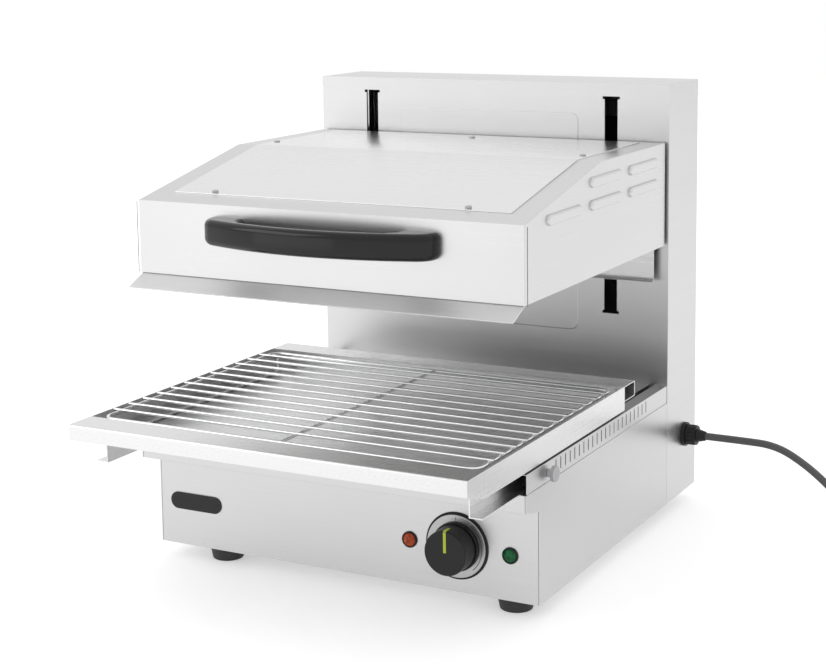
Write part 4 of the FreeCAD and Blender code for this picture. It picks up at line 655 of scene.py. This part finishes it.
# Painted shade behind the rear slots.
# A black sheet with rounded corners, in the same painted-shade material, lies on the inside of the back cover
# behind each group of slots. Its black is painted shade, and it keeps light out of the column.
SCREEN_X = 0.1125
SCREEN_WIDTH = 0.072
SCREEN_LOW = 0.318
SCREEN_HIGH = 0.454
SCREEN_THICKNESS = 0.0007
SCREEN_CORNER = 0.004
cover_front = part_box("column_back")[0].y
screens = []
for x in (-SCREEN_X, SCREEN_X):
    middle = (x, cover_front, (SCREEN_LOW + SCREEN_HIGH) / 2)
    screen = lay_sheet(middle, facing_front, SCREEN_WIDTH, SCREEN_HIGH - SCREEN_LOW)
    bpy.ops.mesh.bevel(offset=SCREEN_CORNER, segments=4, affect="VERTICES")
    bpy.ops.mesh.extrude_region_move(TRANSFORM_OT_translate={"value": (0, -SCREEN_THICKNESS, 0)})
    bpy.ops.object.mode_set(mode="OBJECT")
    screens.append(screen)
settle(join(screens), "rear_slot_painted_shade", "base", painted_shade_black, "black_matt")

# Lift mechanism in the column.
# Ground rods on two brackets, plastic guide blocks, steel ropes over two plastic pulleys on hangers, and a
# cast counterweight. All of it is inside the column's shell and seen only through the slots.
galvanised = surface("galvanised", (0.3, 0.31, 0.32), 0.5, metallic=1.0, scale=90, vary=0.15)
bearing = surface("bearing_plastic", (0.06, 0.06, 0.062), 0.5)
cast_iron = surface("cast_iron", (0.09, 0.09, 0.092), 0.7, scale=260, vary=0.2, depth=0.0004)
rope = surface("rope_strand", (0.42, 0.42, 0.43), 0.4, metallic=1.0, scale=1500, depth=0.0003)
dress(rod_steel, "guide_rods")
dress(galvanised, "rod_brackets", "pulley_hangers")
dress(bearing, "guide_blocks", "pulley_left", "pulley_right")
dress(rope, "rope_front_strands", "rope_back_strands", "rope_wraps")
dress(cast_iron, "counterweight")

# Heating elements and their reflector.
# Tubular steel elements, dulled by heat, on hangers of galvanised strip. The reflector above them is one
# bright folded sheet, held inside the head's shell.
REFLECTOR_FOLD = 0.0002
sheath = surface("element_sheath", (0.58, 0.57, 0.55), 0.5, metallic=0.7, scale=150, vary=0.2)
folded("reflector", brushed("reflector_steel", 0.88, 0.3, 0.2), "steel_plain", REFLECTOR_FOLD)
dress(sheath, "heating_elements")
dress(galvanised, "element_hangers")

# Heating head.
# Stainless sheet: a folded shell with louvres pressed into both sides, a bent top plate laid over its frame
# and held by five screws, a rear plate that hangs below it as a skirt, and the sloping lip under the front.
SEAM = 0.0005
SEAM_HEIGHT = 0.0755
SEAM_EDGE = 0.0001
TOP_FOLD = 0.0003
head_steel = brushed("head_steel", 0.63, 0.3, 0.5)
plate_steel = brushed("plate_steel", 0.74, 0.24, 0.2)
folded("head_shell", head_steel)
shell_low, shell_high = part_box("head_shell")
# Thin black strips up the shell's two front corners are painted shade in the corner seams.
seams = []
for x in (shell_low.x + SEAM / 2, shell_high.x - SEAM / 2):
    bpy.ops.mesh.primitive_cube_add(size=1, scale=(SEAM, SEAM, SEAM_HEIGHT), location=(
        x, shell_low.y + SEAM / 2, shell_low.z + SEAM_HEIGHT / 2))
    seams.append(bpy.context.object)
seam_lines = join(seams)
round_edges(seam_lines, SEAM_EDGE, segments=1)
settle(seam_lines, "head_corner_seam_shade", "head", black_plastic, "black_matt")
folded("head_top_plate", plate_steel, edge=TOP_FOLD)
folded("head_rear_plate", head_steel)
folded("deflector_lip", brushed("lip_steel", 0.74, 0.58))
dress(zinc, "top_plate_screws")

# Handle.
# Glossy black moulding: a bow with a rounded section, one long shallow arc between two round shoulders, on a
# broad foot at each end. Two screws from inside the head hold it.
HANDLE_SLOPE = math.radians(20)
HANDLE_SHOULDER = 0.023
HANDLE_THICKNESS = 0.0155
HANDLE_BEND = 0.013
HANDLE_ROUND = 0.0072
HANDLE_FOOT = 0.044
bow_low, bow_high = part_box("handle")
half = bow_high.x
crown = bow_low.y
panel = bow_high.y
level = bow_low.z
shoulder_end = half - HANDLE_SHOULDER * (1 - math.sin(HANDLE_SLOPE))
bow_radius = shoulder_end / math.sin(HANDLE_SLOPE)
bow_middle = crown + bow_radius
shoulder_y = bow_middle - bow_radius * math.cos(HANDLE_SLOPE) + HANDLE_SHOULDER * math.cos(HANDLE_SLOPE)
bend_x = half - HANDLE_FOOT - HANDLE_BEND
bend_radius = bow_radius - HANDLE_THICKNESS - HANDLE_BEND
bend_y = bow_middle - math.sqrt(bend_radius ** 2 - bend_x ** 2)
bend_angle = math.acos(bend_x / bend_radius)
upright = (0, 0, 1)
bow = lay_sheet((0, crown, level), (0, 0, 0), HANDLE_THICKNESS, HANDLE_THICKNESS)
bpy.ops.mesh.merge(type="CENTER")
bpy.ops.mesh.spin(steps=24, angle=-HANDLE_SLOPE, center=(0, bow_middle, level), axis=upright)
bpy.ops.mesh.spin(
    steps=20, angle=HANDLE_SLOPE - math.pi / 2, axis=upright,
    center=(half - HANDLE_SHOULDER, shoulder_y, level))
bpy.ops.mesh.extrude_vertices_move(TRANSFORM_OT_translate={"value": (0, panel - shoulder_y, 0)})
bpy.ops.mesh.extrude_vertices_move(TRANSFORM_OT_translate={"value": (-HANDLE_FOOT, 0, 0)})
bpy.ops.mesh.extrude_vertices_move(TRANSFORM_OT_translate={"value": (0, bend_y - panel, 0)})
bpy.ops.mesh.spin(steps=12, angle=bend_angle, center=(bend_x, bend_y, level), axis=upright)
bpy.ops.mesh.spin(steps=16, angle=math.pi / 2 - bend_angle, center=(0, bow_middle, level), axis=upright)
bpy.ops.object.mode_set(mode="OBJECT")
mirror = bow.modifiers.new("mirror", "MIRROR")
mirror.merge_threshold = MERGE
bpy.ops.object.modifier_apply(modifier=mirror.name)
bpy.ops.object.mode_set(mode="EDIT")
bpy.ops.mesh.select_all(action="SELECT")
bpy.ops.mesh.edge_face_add()
bpy.ops.mesh.extrude_region_move(TRANSFORM_OT_translate={"value": (0, 0, bow_high.z - level)})
bpy.ops.mesh.select_all(action="DESELECT")
bpy.ops.mesh.select_mode(type="EDGE")
bpy.ops.object.mode_set(mode="OBJECT")
for edge in bow.data.edges:
    first, second = [bow.data.vertices[i].co for i in edge.vertices]
    edge.select = abs(first.z - second.z) < MERGE and min(first.y, second.y) < panel - MERGE
bpy.ops.object.mode_set(mode="EDIT")
bpy.ops.mesh.bevel(offset=HANDLE_ROUND, segments=7, affect="EDGES")
bpy.ops.mesh.select_mode(type="VERT")
bpy.ops.object.mode_set(mode="OBJECT")
handle_gloss = surface("handle_gloss", (0.004, 0.004, 0.0045), 0.1, scale=250, depth=0.00001, shine=0.35)
settle(bow, "handle_bow", "head", handle_gloss, "black_gloss", "handle")

# Lift carriage.
# Two galvanised plates run from the head's rear plate through the column's slots to a crossbar of the same
# steel, which the guide blocks and the ropes carry.
dress(galvanised, "lift_arms", "carriage_crossbar")

# Pull-out rack.
# A shallow stainless pan between a folded front bar and a rear channel, welded together, on two angle rails
# that run in the deck's slots. A plated thumb screw stands on each side.
pan_steel = brushed("pan_steel", 0.73, 0.28, 0.5)
for node in ("rack_pan", "rack_front_bar", "rack_rear_bar", "rack_rail_left", "rack_rail_right"):
    folded(node, pan_steel)
dress(zinc, "thumb_screw_left", "thumb_screw_right")

# Wire grid.
# Bright plated wire: one frame loop with rounded corners, twelve cross rods welded on top of it and one
# middle bar below them. Two bent runners hold it up in the pan.
GRID_CORNER = 0.012
FRAME_WIRE = 0.002
ROD_WIRE = 0.0015
OVERHANG = 0.005
ROD_COUNT = 12
ROD_END = 0.0005
ROD_END_ANGLE = 60
grid_low, grid_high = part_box("wire_grid")
loop_low = grid_low + Vector((OVERHANG, FRAME_WIRE, FRAME_WIRE))
loop_high = Vector((grid_high.x - OVERHANG, grid_high.y - FRAME_WIRE, loop_low.z))
loop_middle = (loop_low + loop_high) / 2
loop = lay_sheet(loop_middle, (0, 0, 0), loop_high.x - loop_low.x, loop_high.y - loop_low.y)
bpy.ops.mesh.bevel(offset=GRID_CORNER, segments=8, affect="VERTICES")
bpy.ops.mesh.delete(type="ONLY_FACE")
bpy.ops.object.mode_set(mode="OBJECT")
bpy.ops.object.convert(target="CURVE")
loop = bpy.context.object
loop.data.bevel_depth = FRAME_WIRE
loop.data.bevel_resolution = 4
bpy.ops.object.convert(target="MESH")
wires = [bpy.context.object]
pitch = (loop_high.y - loop_low.y) / (ROD_COUNT + 1)
bpy.ops.mesh.primitive_cylinder_add(
    vertices=16, radius=ROD_WIRE, depth=grid_high.x - grid_low.x, rotation=along_x,
    location=(0, loop_low.y + pitch, grid_high.z - ROD_WIRE))
rod = bpy.context.object
round_edges(rod, ROD_END, segments=2, degrees=ROD_END_ANGLE)
wires.append(rod)
for i in range(2, ROD_COUNT + 1):
    copy = rod.copy()
    copy.data = rod.data.copy()
    copy.location.y = loop_low.y + i * pitch
    bpy.context.collection.objects.link(copy)
    wires.append(copy)
bpy.ops.mesh.primitive_cylinder_add(
    vertices=16, radius=ROD_WIRE, depth=loop_high.y - loop_low.y, rotation=facing_front,
    location=(0, loop_middle.y, loop_low.z))
wires.append(bpy.context.object)
bright_wire = surface("bright_wire", (0.8, 0.8, 0.81), 0.16, metallic=1.0, scale=800)
settle(join(wires), "grid_wires", "grid", bright_wire, "wire_plated", "wire_grid")
dress(bright_wire, "grid_runners")

# Cable gland.
# Black plastic gland that clamps the lead in the column's right side: a thin flange, a ribbed nut and a
# tapered sleeve that keeps the lead from bending sharply where it leaves.
FLANGE_RADIUS = 0.014
FLANGE_EDGE = 0.0006
NUT_CORE = 0.0114
NUT_LENGTH = 0.0125
NUT_EDGE = 0.0005
RIB_COUNT = 12
RIB_REACH = 0.01116
RIB_LENGTH = 0.01
RIB_RISE = 0.0016
RIB_WIDTH = 0.0022
RIB_MIDDLE = 0.00575
SLEEVE_ROOT = 0.00792
SLEEVE_TIP = 0.0052
gland_low, gland_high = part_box("cord_gland")
nut_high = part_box("gland_nut")[1]
gland_y = (gland_low.y + gland_high.y) / 2
gland_z = (gland_low.z + gland_high.z) / 2
bpy.ops.mesh.primitive_cylinder_add(
    vertices=48, radius=FLANGE_RADIUS, depth=gland_high.x - gland_low.x, rotation=along_x,
    location=((gland_low.x + gland_high.x) / 2, gland_y, gland_z))
flange = bpy.context.object
round_edges(flange, FLANGE_EDGE)
settle(flange, "gland_flange", "base", black_plastic, "black_matt", "cord_gland")
nut_start = gland_high.x
bpy.ops.mesh.primitive_cylinder_add(
    vertices=48, radius=NUT_CORE, depth=NUT_LENGTH, rotation=along_x,
    location=(nut_start + NUT_LENGTH / 2, gland_y, gland_z))
nut_pieces = [bpy.context.object]
for i in range(RIB_COUNT):
    angle = 2 * math.pi * i / RIB_COUNT
    rib_y = gland_y + RIB_REACH * math.cos(angle)
    rib_z = gland_z + RIB_REACH * math.sin(angle)
    bpy.ops.mesh.primitive_cube_add(
        size=1, location=(nut_start + RIB_MIDDLE, rib_y, rib_z), rotation=(angle, 0, 0),
        scale=(RIB_LENGTH, RIB_RISE, RIB_WIDTH))
    nut_pieces.append(bpy.context.object)
sleeve_length = nut_high.x - nut_start - NUT_LENGTH
bpy.ops.mesh.primitive_cone_add(
    vertices=40, radius1=SLEEVE_ROOT, radius2=SLEEVE_TIP, depth=sleeve_length, rotation=along_x,
    location=(nut_high.x - sleeve_length / 2, gland_y, gland_z))
nut_pieces.append(bpy.context.object)
gland_nut = join(nut_pieces)
round_edges(gland_nut, NUT_EDGE, segments=2)
settle(gland_nut, "gland_nut_ribbed", "base", black_plastic, "black_matt", "gland_nut")

# Mains lead.
# Round black rubber lead that leaves the gland on the column's right side, falls to the worktop and lies
# coiled. The coil turns in and then out again one layer higher, as a lead laid down by hand does.
CORD_RADIUS = 0.00425
LEAD_POINTS = [
    (0.2520, 0.2647, 0.0860),
    (0.2940, 0.2647, 0.0860),
    (0.3360, 0.2653, 0.0850),
    (0.3720, 0.2665, 0.0650),
    (0.4020, 0.2674, 0.0400),
    (0.4380, 0.2670, 0.0044),
    (0.4880, 0.2670, 0.0044),
]
COIL_MIDDLE = (0.4965, 0.209)
COIL_RADIUS = 0.058
COIL_PITCH = 0.0095
COIL_LAYER = 0.0092
COIL_IN = 2.75
COIL_OUT = 2.5
COIL_CLIMB = 0.5
COIL_TAIL = 0.034
STEPS_PER_TURN = 24
coil_points = []
for step in range(int((COIL_IN + COIL_OUT) * STEPS_PER_TURN) + 1):
    turns = step / STEPS_PER_TURN
    reach = COIL_RADIUS - COIL_PITCH * min(turns, COIL_IN) + COIL_PITCH * max(turns - COIL_IN, 0)
    climb = min(max(turns - COIL_IN + COIL_CLIMB / 2, 0) / COIL_CLIMB, 1)
    angle = math.pi / 2 - 2 * math.pi * turns
    coil_points.append((
        COIL_MIDDLE[0] + reach * math.cos(angle),
        COIL_MIDDLE[1] + reach * math.sin(angle),
        LEAD_POINTS[-1][2] + COIL_LAYER * climb * climb * (3 - 2 * climb),
    ))
last = coil_points[-1]
coil_points.append((last[0], last[1] - COIL_TAIL, last[2]))
route = LEAD_POINTS + coil_points
curve = bpy.data.curves.new("mains_lead", "CURVE")
curve.dimensions = "3D"
spline = curve.splines.new("NURBS")
spline.points.add(len(route) - 1)
for point, spot in zip(spline.points, route):
    point.co = (*spot, 1)
spline.order_u = 3
spline.use_endpoint_u = True
curve.resolution_u = 6
curve.bevel_depth = CORD_RADIUS
curve.bevel_resolution = 6
curve.use_fill_caps = True
lead = bpy.data.objects.new("mains_lead", curve)
bpy.context.collection.objects.link(lead)
lead_rubber = surface("lead_rubber", (0.085, 0.085, 0.088), 0.5, scale=900, depth=0.00005)
curve.materials.append(lead_rubber)
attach(lead, "base")
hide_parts("power_cord", "cord_coil")
dress(lead_rubber, "plug")

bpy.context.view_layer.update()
